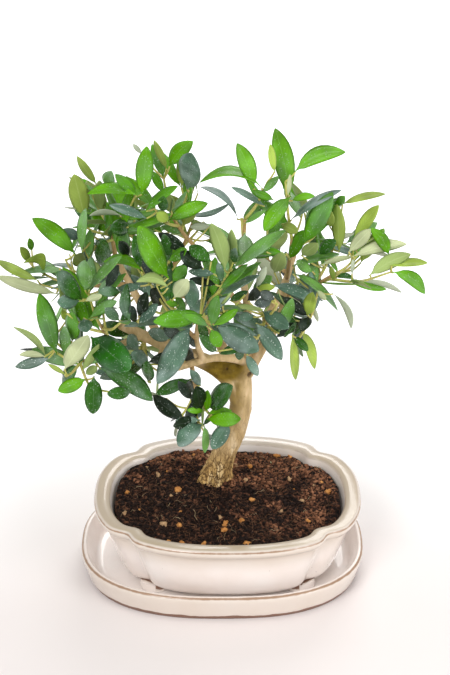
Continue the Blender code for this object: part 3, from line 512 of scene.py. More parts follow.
# Leaves that stand out in the front view: where the blade springs and ends in the picture, its seen
# width, how far its middle bows to the left of its way, the face that shows, and how many millimetres
# it lies nearer than the twig that bears it
Leaf = namedtuple("Leaf", "root tip width bow tone near")
PLAIN_LEAVES = {
    "far_left": (
        ((39, 281), (-4, 260), 10, 0, "light", 2), ((58, 294), (-4, 276), 12, 0, "pale", 4),
        ((43, 276), (23, 263), 12, -13, "light", 3), ((32, 251), (29, 238), 7, 0, "bright", 0),
        ((74, 276), (16, 275), 8, -8, "mid", 7), ((31, 262), (20, 247), 9, 0, "light", 0),
        ((76, 255), (32, 218), 18, -3, "bright", 6), ((80, 239), (63, 229), 11, 0, "waxy", -4),
        ((86, 265), (74, 256), 15, 0, "olive", 2),
    ),
    "left_low": (
        ((57, 355), (39, 293), 19, 0, "green", 6), ((72, 342), (73, 312), 15, 0, "green", 3),
        ((64, 370), (88, 335), 19, 0, "pale", 6), ((91, 337), (130, 370), 31, 0, "glossy", 8),
        ((82, 371), (99, 344), 9, 0, "sage", 10), ((86, 379), (58, 391), 14, 0, "bright", 6),
        ((94, 376), (93, 414), 18, 0, "dark", 4), ((99, 368), (153, 401), 21, 5, "dark", 6),
        ((132, 392), (107, 394), 13, 0, "dark", 0), ((50, 358), (15, 367), 11, 0, "waxy", 4),
        ((46, 357), (13, 327), 7, -5, "sage", 2), ((46, 357), (19, 355), 7, -2, "pale", 5),
        ((66, 357), (65, 326), 12, 0, "mid", 0), ((66, 375), (48, 364), 5, 0, "olive", 3),
        ((98, 366), (86, 374), 9, 0, "sage", 5), ((67, 321), (62, 310), 7, 0, "light", -2),
    ),
    "left_front": (
        ((83, 300), (56, 272), 19, 0, "dark", 2), ((85, 291), (85, 260), 16, 0, "mid", 6),
        ((88, 291), (122, 256), 10, 3, "mid", 9), ((90, 318), (117, 301), 12, 2, "mid", 8),
        ((85, 301), (102, 295), 8, 0, "pale", 8), ((80, 301), (57, 302), 15, 0, "waxy", 3),
        ((121, 292), (98, 291), 11, 0, "dark", 0), ((105, 288), (119, 265), 11, 0, "black", -2),
        ((131, 322), (127, 284), 12, 5, "dark", 2), ((120, 321), (105, 308), 11, 0, "dark", 0),
    ),
    "top_left": (
        ((82, 253), (86, 208), 10, 2, "mid", 10), ((89, 259), (90, 229), 10, 0, "mid", 7),
        ((85, 219), (74, 174), 20, 0, "olive", 4), ((97, 185), (77, 156), 9, 0, "olive", 2),
        ((107, 187), (112, 171), 14, 0, "mid", -2), ((138, 196), (87, 194), 12, -7, "bright", 8),
        ((137, 195), (115, 174), 12, 0, "green", 2), ((142, 196), (147, 146), 18, 0, "bright", 6),
        ((130, 227), (110, 228), 17, 0, "dark", 4), ((122, 216), (89, 216), 6, -4, "grey", 6),
        ((97, 266), (107, 241), 20, 0, "dark", 4),
    ),
    "top_middle": (
        ((142, 154), (133, 144), 5, 0, "grey", -3), ((167, 170), (154, 140), 8, 0, "olive", 2),
        ((169, 167), (193, 141), 16, 3, "bright", 3), ((187, 190), (192, 153), 23, 0, "waxy", 4),
        ((164, 193), (152, 171), 9, 0, "green", 0), ((145, 212), (178, 186), 10, 3, "green", 5),
        ((162, 212), (164, 196), 11, 0, "dark", 2), ((168, 221), (208, 203), 15, 2, "bright", 8),
        ((188, 215), (230, 203), 6, -3, "waxy", 2), ((156, 212), (168, 221), 12, 0, "light", 7),
        ((148, 219), (109, 205), 10, 0, "waxy", 2), ((211, 226), (190, 227), 8, 0, "grey", 0),
        ((185, 233), (161, 226), 8, 0, "mid", 0),
    ),
    "centre_left": (
        ((169, 279), (138, 226), 24, 0, "bright", 8), ((141, 268), (134, 235), 13, 0, "dark", 4),
        ((143, 272), (103, 262), 11, -8, "bright", 6), ((168, 261), (187, 249), 11, 0, "green", 4),
        ((188, 252), (158, 233), 13, 0, "black", -4), ((172, 259), (163, 234), 11, 0, "dark", -3),
        ((172, 282), (186, 266), 14, 0, "green", 3), ((186, 314), (176, 297), 10, 0, "green", 4),
        ((197, 348), (187, 331), 9, 0, "black", -3), ((184, 339), (163, 328), 12, 0, "black", -3),
        ((137, 323), (130, 306), 9, 0, "black", 0), ((204, 269), (180, 252), 15, 0, "black", 0),
        ((212, 262), (189, 246), 15, 0, "dark", -2), ((169, 289), (136, 282), 11, -8, "sage", 10),
        ((174, 298), (188, 279), 16, 0, "pale", 12), ((190, 311), (192, 280), 16, 0, "waxy", 6),
        ((179, 305), (166, 302), 7, 0, "bright", 9), ((138, 318), (147, 292), 12, 0, "black", -2),
        ((137, 324), (158, 304), 11, 0, "waxy", 2), ((165, 305), (150, 290), 14, 0, "black", -4),
        ((142, 286), (118, 289), 9, 0, "waxy", 0), ((129, 256), (119, 241), 11, 0, "black", -4),
    ),
    "centre_front": (
        ((191, 324), (157, 384), 24, 0, "waxy", 8), ((211, 326), (218, 295), 13, 0, "green", 9),
        ((213, 326), (238, 309), 10, 0, "bright", 9), ((209, 327), (182, 315), 10, -2, "green", 8),
        ((211, 329), (220, 347), 13, 0, "bright", 10), ((225, 271), (211, 223), 17, -2, "sage", 6),
        ((222, 283), (218, 262), 8, 0, "dark", 5), ((231, 270), (286, 230), 13, 2, "mid", 9),
        ((219, 290), (248, 264), 9, 0, "green", 7), ((220, 296), (260, 275), 8, 0, "waxy", 4),
        ((215, 274), (188, 271), 9, 0, "waxy", 0), ((213, 301), (200, 287), 10, 0, "dark", 0),
        ((217, 285), (189, 279), 9, 0, "black", -2), ((233, 263), (236, 248), 9, 0, "dark", 3),
    ),
    "top_centre": (
        ((254, 190), (237, 143), 17, -2, "bright", 4), ((275, 173), (270, 144), 8, 0, "light", 0),
        ((263, 189), (199, 183), 11, -13, "bright", 6), ((262, 193), (279, 176), 8, 0, "mid", 5),
        ((266, 207), (231, 187), 7, -2, "waxy", 2), ((274, 200), (252, 191), 9, 0, "green", 4),
        ((244, 224), (266, 210), 6, 0, "mid", 2), ((238, 220), (200, 187), 7, -7, "waxy", 2),
    ),
    "top_right": (
        ((290, 197), (275, 128), 21, -2, "bright", 5), ((294, 173), (346, 152), 17, 8, "bright", 0),
        ((291, 196), (264, 231), 17, -2, "bright", 9), ((291, 201), (315, 196), 8, 2, "bright", 2),
        ((288, 196), (290, 174), 5, 0, "pale", 8), ((281, 224), (298, 232), 11, 0, "olive", 4),
        ((290, 221), (342, 190), 9, 3, "waxy", 2), ((303, 245), (333, 192), 20, 0, "green", 6),
        ((288, 260), (304, 230), 13, 0, "green", 3),
    ),
    "far_right": (
        ((341, 205), (386, 194), 8, 3, "light", 0), ((335, 206), (345, 196), 9, 0, "green", -2),
        ((330, 228), (329, 208), 11, 0, "olive", 0), ((339, 253), (337, 204), 14, 0, "olive", 5),
        ((353, 242), (379, 205), 13, 2, "light", 2), ((389, 256), (371, 228), 13, -3, "bright", -2),
        ((348, 253), (371, 229), 13, 0, "pale", 5), ((352, 257), (407, 244), 13, 2, "pale", 7),
        ((319, 256), (336, 240), 13, 2, "dark", 2), ((301, 256), (318, 243), 13, 0, "sage", 6),
        ((313, 272), (296, 261), 11, 0, "mid", 5), ((274, 273), (283, 252), 16, 0, "sage", 8),
        ((292, 266), (340, 254), 9, 2, "mid", 8), ((321, 265), (353, 257), 6, 0, "pale", 7),
        ((369, 276), (411, 254), 15, 3, "sage", 5), ((390, 266), (428, 263), 9, 2, "light", 1),
        ((392, 272), (425, 294), 14, 6, "bright", 3), ((333, 281), (331, 266), 6, 0, "olive", 2),
        ((335, 278), (354, 279), 6, 3, "dark", 1), ((352, 275), (353, 258), 4, 0, "grey", 1),
        ((359, 281), (402, 293), 6, 2, "grey", 2),
    ),
    "right_low": (
        ((292, 273), (338, 311), 9, 6, "mid", 8), ((332, 293), (351, 329), 7, 5, "grey", 4),
        ((317, 290), (326, 300), 6, 0, "pale", 3), ((272, 285), (315, 300), 13, 2, "waxy", 9),
        ((307, 316), (313, 292), 13, 0, "light", 4), ((311, 303), (318, 322), 5, 0, "grey", 1),
        ((292, 334), (296, 380), 10, 0, "light", 3), ((294, 336), (308, 351), 9, 0, "dark", 0),
        ((301, 330), (315, 369), 11, 3, "light", 1),
    ),
    "centre_right": (
        ((255, 322), (282, 360), 17, 1, "waxy", 8), ((262, 311), (289, 328), 16, 0, "waxy", 5),
        ((254, 317), (239, 317), 11, 0, "waxy", 5), ((275, 300), (260, 292), 11, 0, "black", 4),
        ((272, 301), (254, 304), 11, 0, "black", 2), ((247, 301), (262, 288), 11, 0, "black", 1),
        ((217, 352), (199, 335), 12, 0, "dark", -1), ((209, 339), (198, 324), 10, 0, "dark", -1),
        ((229, 301), (248, 291), 8, 0, "dark", 4), ((257, 288), (275, 287), 8, 0, "light", 4),
        ((251, 292), (272, 276), 12, 0, "mid", 3), ((256, 288), (266, 266), 8, 0, "grey", 2),
        ((216, 326), (259, 351), 23, 0, "waxy", 6), ((246, 354), (258, 376), 10, 0, "waxy", 2),
        ((240, 349), (239, 360), 9, 0, "dark", 4),
    ),
    "low_cluster": (
        ((191, 379), (156, 394), 13, 0, "dark", 2), ((186, 420), (153, 395), 15, 2, "black", 1),
        ((199, 424), (173, 426), 14, -2, "black", 2), ((192, 400), (178, 381), 10, 0, "black", 0),
        ((201, 386), (190, 370), 9, 0, "waxy", 0), ((204, 411), (187, 410), 7, 0, "bright", 7),
        ((206, 412), (208, 390), 9, 0, "bright", 7), ((207, 408), (233, 386), 20, 0, "dark", 3),
        ((201, 411), (196, 386), 16, 0, "black", 2), ((206, 419), (241, 419), 16, 0, "bright", 8),
        ((207, 414), (232, 411), 7, 2, "bright", 6), ((201, 420), (175, 421), 9, 0, "waxy", 6),
        ((203, 424), (178, 446), 19, -3, "waxy", 4), ((204, 425), (205, 453), 8, 0, "mid", 6),
        ((229, 422), (212, 449), 16, 0, "waxy", 3),
    ),
    "heart_left": (
        ((195, 359), (181, 350), 14, 0, "black", 4), ((150, 365), (131, 353), 15, 0, "waxy", 4),
        ((171, 339), (148, 331), 13, 0, "waxy", 2), ((131, 335), (102, 324), 15, 0, "dark", 4),
        ((139, 351), (128, 335), 13, 0, "waxy", 4), ((148, 382), (148, 361), 13, 0, "dark", 4),
    ),
}

# The crown's edge in the picture, and the round gaps that show sky or bare wood
CROWN_EDGE = (
    (2, 262), (28, 250), (30, 214), (64, 200), (66, 174), (74, 150), (100, 170), (108, 168),
    (120, 178), (138, 150), (150, 144), (152, 136), (168, 150), (176, 140), (196, 138), (200, 158),
    (206, 164), (230, 166), (232, 142), (244, 144), (256, 152), (270, 126), (288, 128), (298, 148),
    (344, 146), (344, 160), (306, 174), (302, 184), (330, 188), (346, 192), (386, 190), (386, 200),
    (352, 204), (348, 212), (374, 208), (384, 222), (392, 240), (428, 262), (428, 296), (398, 292),
    (356, 294), (340, 290), (326, 296), (322, 320), (322, 350), (318, 372), (296, 382), (288, 346),
    (282, 340), (284, 360), (262, 354), (238, 380), (242, 430), (212, 456), (176, 442), (152, 404),
    (124, 388), (104, 394), (94, 416), (80, 412), (78, 386), (60, 392), (56, 380), (12, 378),
    (12, 328), (34, 328), (34, 296), (2, 290),
)
SKY_GAPS = (
    ((213, 208), 11), ((226, 216), 12), ((206, 196), 8), ((240, 204), 8), ((237, 182), 8),
    ((216, 186), 5), ((223, 179), 7), ((262, 165), 8), ((270, 187), 8), ((205, 176), 8),
    ((232, 190), 8), ((256, 228), 11), ((313, 180), 13), ((324, 190), 9), ((353, 210), 10),
    ((345, 264), 7), ((363, 266), 9), ((298, 222), 6), ((330, 232), 6), ((308, 254), 5),
    ((130, 166), 8), ((167, 147), 5), ((194, 152), 5), ((201, 168), 5), ((150, 178), 5),
    ((50, 243), 10), ((66, 218), 9), ((62, 232), 6), ((137, 300), 9), ((120, 303), 5),
    ((282, 345), 8), ((268, 357), 8), ((316, 340), 7), ((60, 322), 5), ((40, 320), 12),
    ((330, 316), 12), ((262, 285), 5), ((176, 300), 4), ((205, 243), 6), ((202, 290), 4),
    ((93, 170), 7), ((174, 190), 6), ((150, 190), 5), ((240, 230), 6), ((328, 274), 5),
    ((386, 280), 7), ((297, 184), 4), ((42, 376), 7),
    ((217, 388), 11), ((175, 402), 7), ((166, 378), 7), ((150, 372), 6), ((236, 372), 15),
    ((222, 366), 12), ((246, 392), 10), ((208, 372), 8), ((340, 312), 9),
)

# Shares of a leaf's length at which its outline is drawn, and the power of its sides: the first for a
# slim leaf, the second for a stout one, whose end is blunter
LEAF_SHARES = (0.0, 0.05, 0.12, 0.20, 0.30, 0.41, 0.52, 0.63, 0.74, 0.84, 0.92, 0.975)
LEAF_POWERS = (0.82, 0.50)
LEAF_STOUTNESS = (0.30, 0.58)
STALK_WIDTH = 0.075
LEAF_LEAN = 1.15
STALK_SHARE = 0.22

# Places across a leaf, over its upper face and back under it; the first few edges are the upper face
LEAF_SECTION = (-1.0, -0.66, -0.33, 0.0, 0.33, 0.66, 1.0, 0.66, 0.33, 0.0, -0.33, -0.66)
LEAF_UPPER_EDGES = 6
LEAF_FOLD_LEVEL = 0.35
LEAF_EDGE_DROP = 0.12
LEAF_GROOVE = 0.8
LEAF_THIN_SHARE = 0.55
LEAF_FULL_HALF = 0.002

# Places along a leaf at which it is tested: its strip, the box, the crown's edge and what it hides
STRIP_SHARES = (0.3, 0.55, 0.8, 1.0)
STRIP_LAST = 0.97
BOX_SHARES = (0.0, 0.5, 0.8, 1.0)
EDGE_SHARES = (0.2, 0.4, 0.6, 0.8, 1.0)
HIDE_SHARES = (0.15, 0.35, 0.55, 0.75, 0.95)
HIDE_WIDTH = 0.8
HIDE_DEPTH = 0.2


# Meshes and lines

class MeshBatch:
    """Collects the points and faces of many shapes, then makes one mesh of them."""

    def __init__(self):
        self.points = []
        self.faces = []
        self.looks = []
        self.places = []

    def add(self, points, faces, looks, places=None):
        """Append a shape: looks is one name for all its faces or a name for each."""
        offset = len(self.points)
        self.points.extend(points)
        self.faces.extend([tuple(index + offset for index in face) for face in faces])
        self.looks.extend([looks] * len(faces) if isinstance(looks, str) else looks)
        self.places.extend(places if places else [(0.5, 0.5)] * len(points))

    def build(self, name):
        """One mesh with a slot for each finish that its faces use."""
        mesh = bpy.data.meshes.new(name)
        mesh.from_pydata(self.points, [], self.faces)
        used = sorted(set(self.looks))
        for look in used:
            mesh.materials.append(finish_named(look))
        order = {look: index for index, look in enumerate(used)}
        mesh.polygons.foreach_set("material_index", [order[look] for look in self.looks])
        layer = mesh.uv_layers.new(name="place")
        flat = []
        for loop in mesh.loops:
            flat.extend(self.places[loop.vertex_index])
        layer.data.foreach_set("uv", flat)
        mesh.shade_smooth()
        mesh.update()
        return mesh


def show_piece(name, mesh, replaced=()):
    """Put a mesh in the scene as a piece that rides on the body."""
    piece = bpy.data.objects.new(name, mesh)
    bpy.context.scene.collection.objects.link(piece)
    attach(piece, BODY)
    if replaced:
        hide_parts(*replaced)


def mix(first, second, share):
    """A value between two, at a share of the way."""
    return first + (second - first) * share


def ease(low, high, value):
    """0 below low, 1 above high and a smooth step between; low may be the greater."""
    share = max(0.0, min(1.0, (value - low) / (high - low)))
    return share * share * (3.0 - 2.0 * share)


def smooth_line(points, count):
    """Points evenly along a smooth curve through the given ones."""
    knots = [Vector(point) for point in points]
    padded = [knots[0] * 2 - knots[1]] + knots + [knots[-1] * 2 - knots[-2]]
    line = []
    spans = len(knots) - 1
    for step in range(count):
        place = spans * step / (count - 1)
        span = min(int(place), spans - 1)
        part = place - span
        before, start, end, after = padded[span:span + 4]
        line.append(0.5 * (
            2 * start
            + (end - before) * part
            + (2 * before - 5 * start + 4 * end - after) * part ** 2
            + (3 * start - before - 3 * end + after) * part ** 3
        ))
    return line


def along(line, share):
    """The point and heading at a share of a line's points."""
    place = max(0.0, min(1.0, share)) * (len(line) - 1)
    index = min(int(place), len(line) - 2)
    point = line[index].lerp(line[index + 1], place - index)
    return point, (line[index + 1] - line[index]).normalized()


def line_length(line):
    """The length of a line of points."""
    return sum((after - before).length for before, after in zip(line, line[1:]))


def ring_faces(rows, count):
    """Faces between rows of equal count that run round, with an end face at each end."""
    faces = []
    for row in range(rows - 1):
        for step in range(count):
            after = (step + 1) % count
            low = row * count
            faces.append((low + step, low + after, low + count + after, low + count + step))
    faces.append(tuple(reversed(range(count))))
    faces.append(tuple(range((rows - 1) * count, rows * count)))
    return faces


def tube(line, radius_at, sides):
    """Points and faces of a closed round tube along a line."""
    points = []
    side = line[1] - line[0]
    side = side.orthogonal().normalized()
    for index, centre in enumerate(line):
        heading = along(line, index / (len(line) - 1))[1]
        side = (side - heading * side.dot(heading)).normalized()
        other = heading.cross(side)
        radius = radius_at(index / (len(line) - 1))
        for step in range(sides):
            angle = 2 * math.pi * step / sides
            points.append(centre + (side * math.cos(angle) + other * math.sin(angle)) * radius)
    return points, ring_faces(len(line), sides)


def mesh_of(name, points, faces):
    """A smooth mesh with its faces turned outwards."""
    mesh = bpy.data.meshes.new(name)
    mesh.from_pydata(points, [], faces)
    bm = bmesh.new()
    bm.from_mesh(mesh)
    bmesh.ops.recalc_face_normals(bm, faces=bm.faces)
    bm.to_mesh(mesh)
    bm.free()
    mesh.shade_smooth()
    return mesh


def evaluated(piece):
    """A new mesh of an object with its modifiers applied."""
    depsgraph = bpy.context.evaluated_depsgraph_get()
    return bpy.data.meshes.new_from_object(piece.evaluated_get(depsgraph))


# Views of points from the camera

def sight_axes():
    """The camera's forward and upward directions."""
    forward = Vector((0.0, math.cos(VIEW_DIP), -math.sin(VIEW_DIP)))
    upward = Vector((0.0, math.sin(VIEW_DIP), math.cos(VIEW_DIP)))
    return forward, upward


def on_view(pixel, depth):
    """The point seen at a pixel, on the upright plane y = depth."""
    forward, upward = sight_axes()
    across = (pixel[0] - PICTURE[0] / 2) / VIEW_FOCAL
    rise = (PICTURE[1] / 2 - pixel[1]) / VIEW_FOCAL
    ray = forward + Vector((across, 0.0, 0.0)) + upward * rise
    return VIEW_POINT + ray * ((depth - VIEW_POINT.y) / ray.y)


def in_view(point):
    """The pixel at which a point is seen."""
    forward, upward = sight_axes()
    offset = point - VIEW_POINT
    away = offset.dot(forward)
    return (
        PICTURE[0] / 2 + VIEW_FOCAL * offset.x / away,
        PICTURE[1] / 2 - VIEW_FOCAL * offset.dot(upward) / away,
    )


def inside_outline(pixel, outline):
    """Whether a pixel lies inside a closed outline."""
    inside = False
    x, y = pixel
    for index in range(len(outline)):
        x1, y1 = outline[index - 1]
        x2, y2 = outline[index]
        if (y1 > y) != (y2 > y) and x < x1 + (y - y1) / (y2 - y1) * (x2 - x1):
            inside = not inside
    return inside


# Materials

class Finish:
    """A Principled material and short ways to add nodes to it."""

    def __init__(self, name, roughness, **settings):
        self.material = bpy.data.materials.new(name)
        self.material.use_nodes = True
        self.tree = self.material.node_tree
        self.shader = self.tree.nodes["Principled BSDF"]
        self.place = self.tree.nodes.new("ShaderNodeTexCoord").outputs
        self.fill(self.shader, Roughness=roughness, **settings)

    def feed(self, socket, value):
        """Give an input a link from another socket, a colour or a plain value."""
        if isinstance(value, bpy.types.NodeSocket):
            self.tree.links.new(value, socket)
        elif socket.type == "RGBA":
            socket.default_value = (*value, 1.0)
        else:
            socket.default_value = value

    def fill(self, node, **inputs):
        """Feed a node's inputs by name, where _ stands for a space."""
        for name, value in inputs.items():
            self.feed(node.inputs[name.replace("_", " ")], value)
        return node

    def node(self, kind, settings=(), **inputs):
        """A new node of a kind with its settings and inputs."""
        made = self.tree.nodes.new("ShaderNode" + kind)
        for name, value in settings:
            setattr(made, name, value)
        return self.fill(made, **inputs)

    def stretched(self, stretch):
        """The object's own space, stretched."""
        return self.node("Mapping", Vector=self.place["Object"], Scale=stretch).outputs["Vector"]

    def noise(self, scale, detail=3.0, stretch=(1.0, 1.0, 1.0)):
        """A noise value over the object's own space."""
        texture = self.node("TexNoise", Vector=self.stretched(stretch), Scale=scale, Detail=detail)
        return texture.outputs["Fac"]

    def spots(self, scale):
        """The distance to the nearest of many scattered points."""
        return self.node("TexVoronoi", Vector=self.place["Object"], Scale=scale).outputs["Distance"]

    def cracks(self, scale, stretch):
        """The distance to the edge of the nearest of many cells."""
        edges = (("feature", "DISTANCE_TO_EDGE"),)
        texture = self.node("TexVoronoi", edges, Vector=self.stretched(stretch), Scale=scale)
        return texture.outputs["Distance"]

    def ramp(self, value, *stops):
        """A colour ramp over a value; each stop is a position and a colour or a grey."""
        made = self.node("ValToRGB", Fac=value)
        elements = made.color_ramp.elements
        while len(elements) < len(stops):
            elements.new(0.5)
        for element, (position, colour) in zip(elements, stops):
            red, green, blue = colour if isinstance(colour, tuple) else (colour, colour, colour)
            element.position = position
            element.color = (red, green, blue, 1.0)
        return made.outputs["Color"]

    def blend(self, share, first, second):
        """Mix two colours or colour sockets by a share or a socket."""
        mixed = self.node("Mix", (("data_type", "RGBA"),), Factor=share, A=first, B=second)
        return mixed.outputs["Result"]

    def combine(self, first, second, way="ADD", kind="Math"):
        """Arithmetic on two values or sockets."""
        made = self.node(kind, (("operation", way),))
        for socket, value in zip(made.inputs, (first, second)):
            self.feed(socket, value)
        return made.outputs["Value"]

    def attribute(self, name):
        """The red, green and blue values of a mesh attribute."""
        held = self.node("Attribute", (("attribute_name", name),))
        split = self.node("SeparateColor", Color=held.outputs["Color"])
        return [split.outputs[part] for part in ("Red", "Green", "Blue")]

    def parts(self, vector):
        """The X, Y and Z parts of a vector."""
        return list(self.node("SeparateXYZ", Vector=vector).outputs)

    def colour(self, socket):
        """Colour the surface by a socket."""
        self.fill(self.shader, Base_Color=socket)

    def roughness(self, value, low, high):
        """Roughness that follows a value between two bounds."""
        range_node = self.node("MapRange", Value=value, To_Min=low, To_Max=high)
        self.fill(self.shader, Roughness=range_node.outputs["Result"])

    def bump(self, value, depth, strength=1.0):
        """Fine relief from a value, its depth in metres."""
        relief = self.node("Bump", Strength=strength, Distance=depth, Height=value)
        self.fill(self.shader, Normal=relief.outputs["Normal"])


@lru_cache(maxsize=None)
def finish_named(name):
    """The finish of that name, made the first time that it is asked for."""
    kind, _, tone = name.partition("_")
    if name in LOOSE_TONES:
        return loose_finish(name)
    if tone:
        return {"leaf": leaf_finish, "twig": twig_finish}[kind](tone)
    return {"glaze": glaze_finish, "bark": bark_finish, "peat": peat_finish}[kind]()


def shaded(colour, factor, lift=0.0):
    """A colour made lighter or darker by a factor, then lifted."""
    return tuple(min(1.0, part * factor + lift) for part in colour)


def leaf_finish(tone):
    """The skin of one side of a leaf: colour by patch, midrib, side veins, waxy specks with painted glints,
    and waxy bloom with painted sheen.
    """
    upper = tone in UPPER_TONES
    base, roughness, specks_and_sheen = UPPER_TONES[tone] if upper else (*UNDER_TONES[tone], 0.0)
    finish = Finish("leaf_" + tone, roughness, Specular_IOR_Level=0.14 + 0.26 * specks_and_sheen)
    across, lengthwise, _ = finish.parts(finish.place["UV"])
    contrast = 0.34 if upper else 0.14
    fresh = shaded(base, 1.0 + contrast, 0.006)
    deep = shaded(base, 1.0 - contrast)
    pale = shaded(base, 1.15, 0.07)
    patches = finish.noise(75.0, 1.0)
    colour = finish.ramp(patches, (0.34, deep), (0.50, base), (0.66, fresh))
    off_rib = finish.combine(finish.combine(across, 0.5, "SUBTRACT"), 0.0, "ABSOLUTE")
    rib_width = 0.035 if upper else 0.05
    rib_and_margin = finish.ramp(off_rib, (0.0, 0.55), (rib_width, 0.0), (0.43, 0.0), (0.49, 0.50))
    colour = finish.blend(rib_and_margin, colour, pale)
    slant = finish.combine(lengthwise, finish.combine(off_rib, 0.5, "MULTIPLY"), "SUBTRACT")
    waves = finish.combine(finish.combine(slant, 70.0, "MULTIPLY"), 0.0, "SINE")
    veins = finish.combine(waves, 0.5, "MULTIPLY")
    colour = finish.blend(finish.ramp(veins, (0.15, 0.0), (0.50, 0.22)), colour, deep)
    if specks_and_sheen:
        # White specks: partly waxy specks, partly painted glints
        dots = finish.ramp(finish.spots(800.0), (0.13, 1.0), (0.28, 0.0))
        where = finish.ramp(finish.noise(240.0), (0.42, 0.0), (0.56, 0.20 + 0.70 * specks_and_sheen))
        colour = finish.blend(finish.combine(dots, where, "MULTIPLY"), colour, LEAF_SPECK_AND_GLINT)
        # Pale patches: partly waxy bloom, partly painted sheen
        bloom_and_sheen = finish.ramp(finish.noise(62.0), (0.48, 0.0), (0.70, 0.72 * specks_and_sheen))
        colour = finish.blend(bloom_and_sheen, colour, LEAF_BLOOM_AND_SHEEN)
    finish.colour(colour)
    finish.roughness(finish.noise(420.0), roughness - 0.07, roughness + 0.12)
    height = finish.combine(finish.combine(veins, 0.3, "MULTIPLY"), finish.noise(900.0))
    finish.bump(height, 0.00012, 0.5)
    return finish.material


def twig_finish(age):
    """Bark of the twigs: yellow-green and smooth when young, tan and scaly when old."""
    finish = Finish("twig_" + age, 0.62)
    grain = finish.noise(700.0, 4.0, (1.0, 1.0, 0.4))
    finish.colour(finish.ramp(grain, *zip((0.35, 0.60), TWIG_TONES[age])))
    finish.roughness(grain, 0.52, 0.75)
    finish.bump(grain, 0.00025, 0.8)
    return finish.material


def glaze_finish():
    """Cream glaze that breaks brown on the edges, with pinholes, a bare brown foot, and painted shade that
    is taken off towards the back as painted light.
    """
    finish = Finish("cream_glaze", 0.16, Specular_IOR_Level=0.55, Coat_Weight=0.35, Coat_Roughness=0.06)
    edge, bare, shade = finish.attribute("glaze_break")
    # Painted light: the painted shade fades towards the back, so the back of the ware is lighter
    back = finish.combine(finish.parts(finish.place["Object"])[1], 10.0, "MULTIPLY")
    shade = finish.combine(shade, finish.ramp(back, (0.30, 1.0), (0.72, 0.15)), "MULTIPLY")
    cloud = finish.noise(38.0, 4.0)
    colour = finish.ramp(cloud, *zip((0.30, 0.55, 0.80), GLAZE_CLOUD))
    # Painted shade, together with the lip top's own ivory, as darker ivory
    colour = finish.blend(shade, colour, GLAZE_IVORY_AND_SHADE)
    wear = finish.combine(finish.combine(finish.noise(260.0, 4.0), 0.5, "SUBTRACT"), 0.55, "MULTIPLY")
    ragged = finish.combine(edge, wear)
    colour = finish.blend(finish.ramp(ragged, (0.36, 0.0), (0.74, 0.90)), colour, GLAZE_BREAK)
    pits = finish.ramp(finish.spots(210.0), (0.035, 1.0), (0.06, 0.0))
    pitted = finish.ramp(finish.noise(24.0, 2.0), (0.56, 0.0), (0.66, 0.9))
    colour = finish.blend(finish.combine(pits, pitted, "MULTIPLY"), colour, GLAZE_PIT)
    foot = finish.combine(bare, finish.combine(finish.noise(130.0, 4.0), 0.5, "SUBTRACT"))
    worn = finish.ramp(foot, (0.47, 0.0), (0.53, 1.0))
    finish.colour(finish.blend(worn, colour, BARE_CLAY))
    gloss = finish.combine(finish.combine(finish.noise(90.0), 0.3, "MULTIPLY"), worn)
    finish.roughness(gloss, 0.10, 0.62)
    finish.bump(finish.combine(cloud, finish.noise(320.0)), 0.00025, 0.25)
    return finish.material


def bark_finish():
    """Olive bark: golden and fissured at the foot, smooth warm beige above, olive moss in the crotch and,
    with painted shade, on the trunk's left side, and painted shade in cracks, knot holes and dips.
    """
    finish = Finish("olive_bark", 0.74, Specular_IOR_Level=0.3)
    relief, age, moss_and_side_shade = finish.attribute("bark_tint")
    grain = finish.noise(260.0, 5.0, (1.0, 1.0, 0.35))
    smooth = finish.ramp(grain, *zip((0.30, 0.52, 0.74), BARK_SMOOTH))
    rough = finish.ramp(grain, *zip((0.34, 0.55, 0.72), BARK_ROUGH))
    colour = finish.blend(age, smooth, rough)
    # Moss colour, also used for the painted shade on the trunk's left side
    moss_and_shade_colour = finish.ramp(finish.noise(190.0, 4.0), *zip((0.35, 0.65), BARK_MOSS_AND_SHADE))
    colour = finish.blend(moss_and_side_shade, colour, moss_and_shade_colour)
    fissures = finish.ramp(finish.cracks(420.0, (1.0, 1.0, 0.34)), (0.015, 1.0), (0.085, 0.0))
    colour = finish.blend(finish.combine(fissures, age, "MULTIPLY"), colour, BARK_CRACK)
    dots = finish.ramp(finish.spots(520.0), (0.10, 1.0), (0.19, 0.0))
    colour = finish.blend(finish.combine(dots, 0.35, "MULTIPLY"), colour, BARK_DOT)
    # Painted shade: darker where the relief value is low, in cracks, knot holes and dips
    painted_hollow_shade = finish.ramp(relief, (0.05, 0.92), (0.46, 0.0))
    finish.colour(finish.blend(painted_hollow_shade, colour, BARK_HOLLOW_SHADE))
    finish.roughness(grain, 0.62, 0.86)
    finish.bump(finish.noise(1500.0, 4.0, (1.0, 1.0, 0.5)), 0.00035, 0.8)
    return finish.material


def peat_finish():
    """Damp peat: near black with red-brown fibres showing through."""
    finish = Finish("peat", 0.88, Specular_IOR_Level=0.1)
    finish.colour(finish.ramp(finish.noise(420.0, 6.0), *zip((0.36, 0.52, 0.68), PEAT_TONES)))
    finish.bump(finish.noise(1300.0, 5.0), 0.0006)
    return finish.material


def loose_finish(name):
    """A lump of peat, fibre or grit, mottled between two colours."""
    dark, light, roughness = LOOSE_TONES[name]
    finish = Finish(name, roughness, Specular_IOR_Level=0.12)
    finish.colour(finish.ramp(finish.noise(520.0, 4.0), (0.34, dark), (0.66, light)))
    finish.bump(finish.noise(2400.0, 4.0), 0.0003, 0.9)
    return finish.material


# Glazed ware

def oval_radius(angle, half_width, half_depth, roundness):
    """Distance to the edge of a rounded oval in one direction."""
    across = abs(math.cos(angle)) / half_width
    deep = abs(math.sin(angle)) / half_depth
    return (across ** roundness + deep ** roundness) ** (-1.0 / roundness)


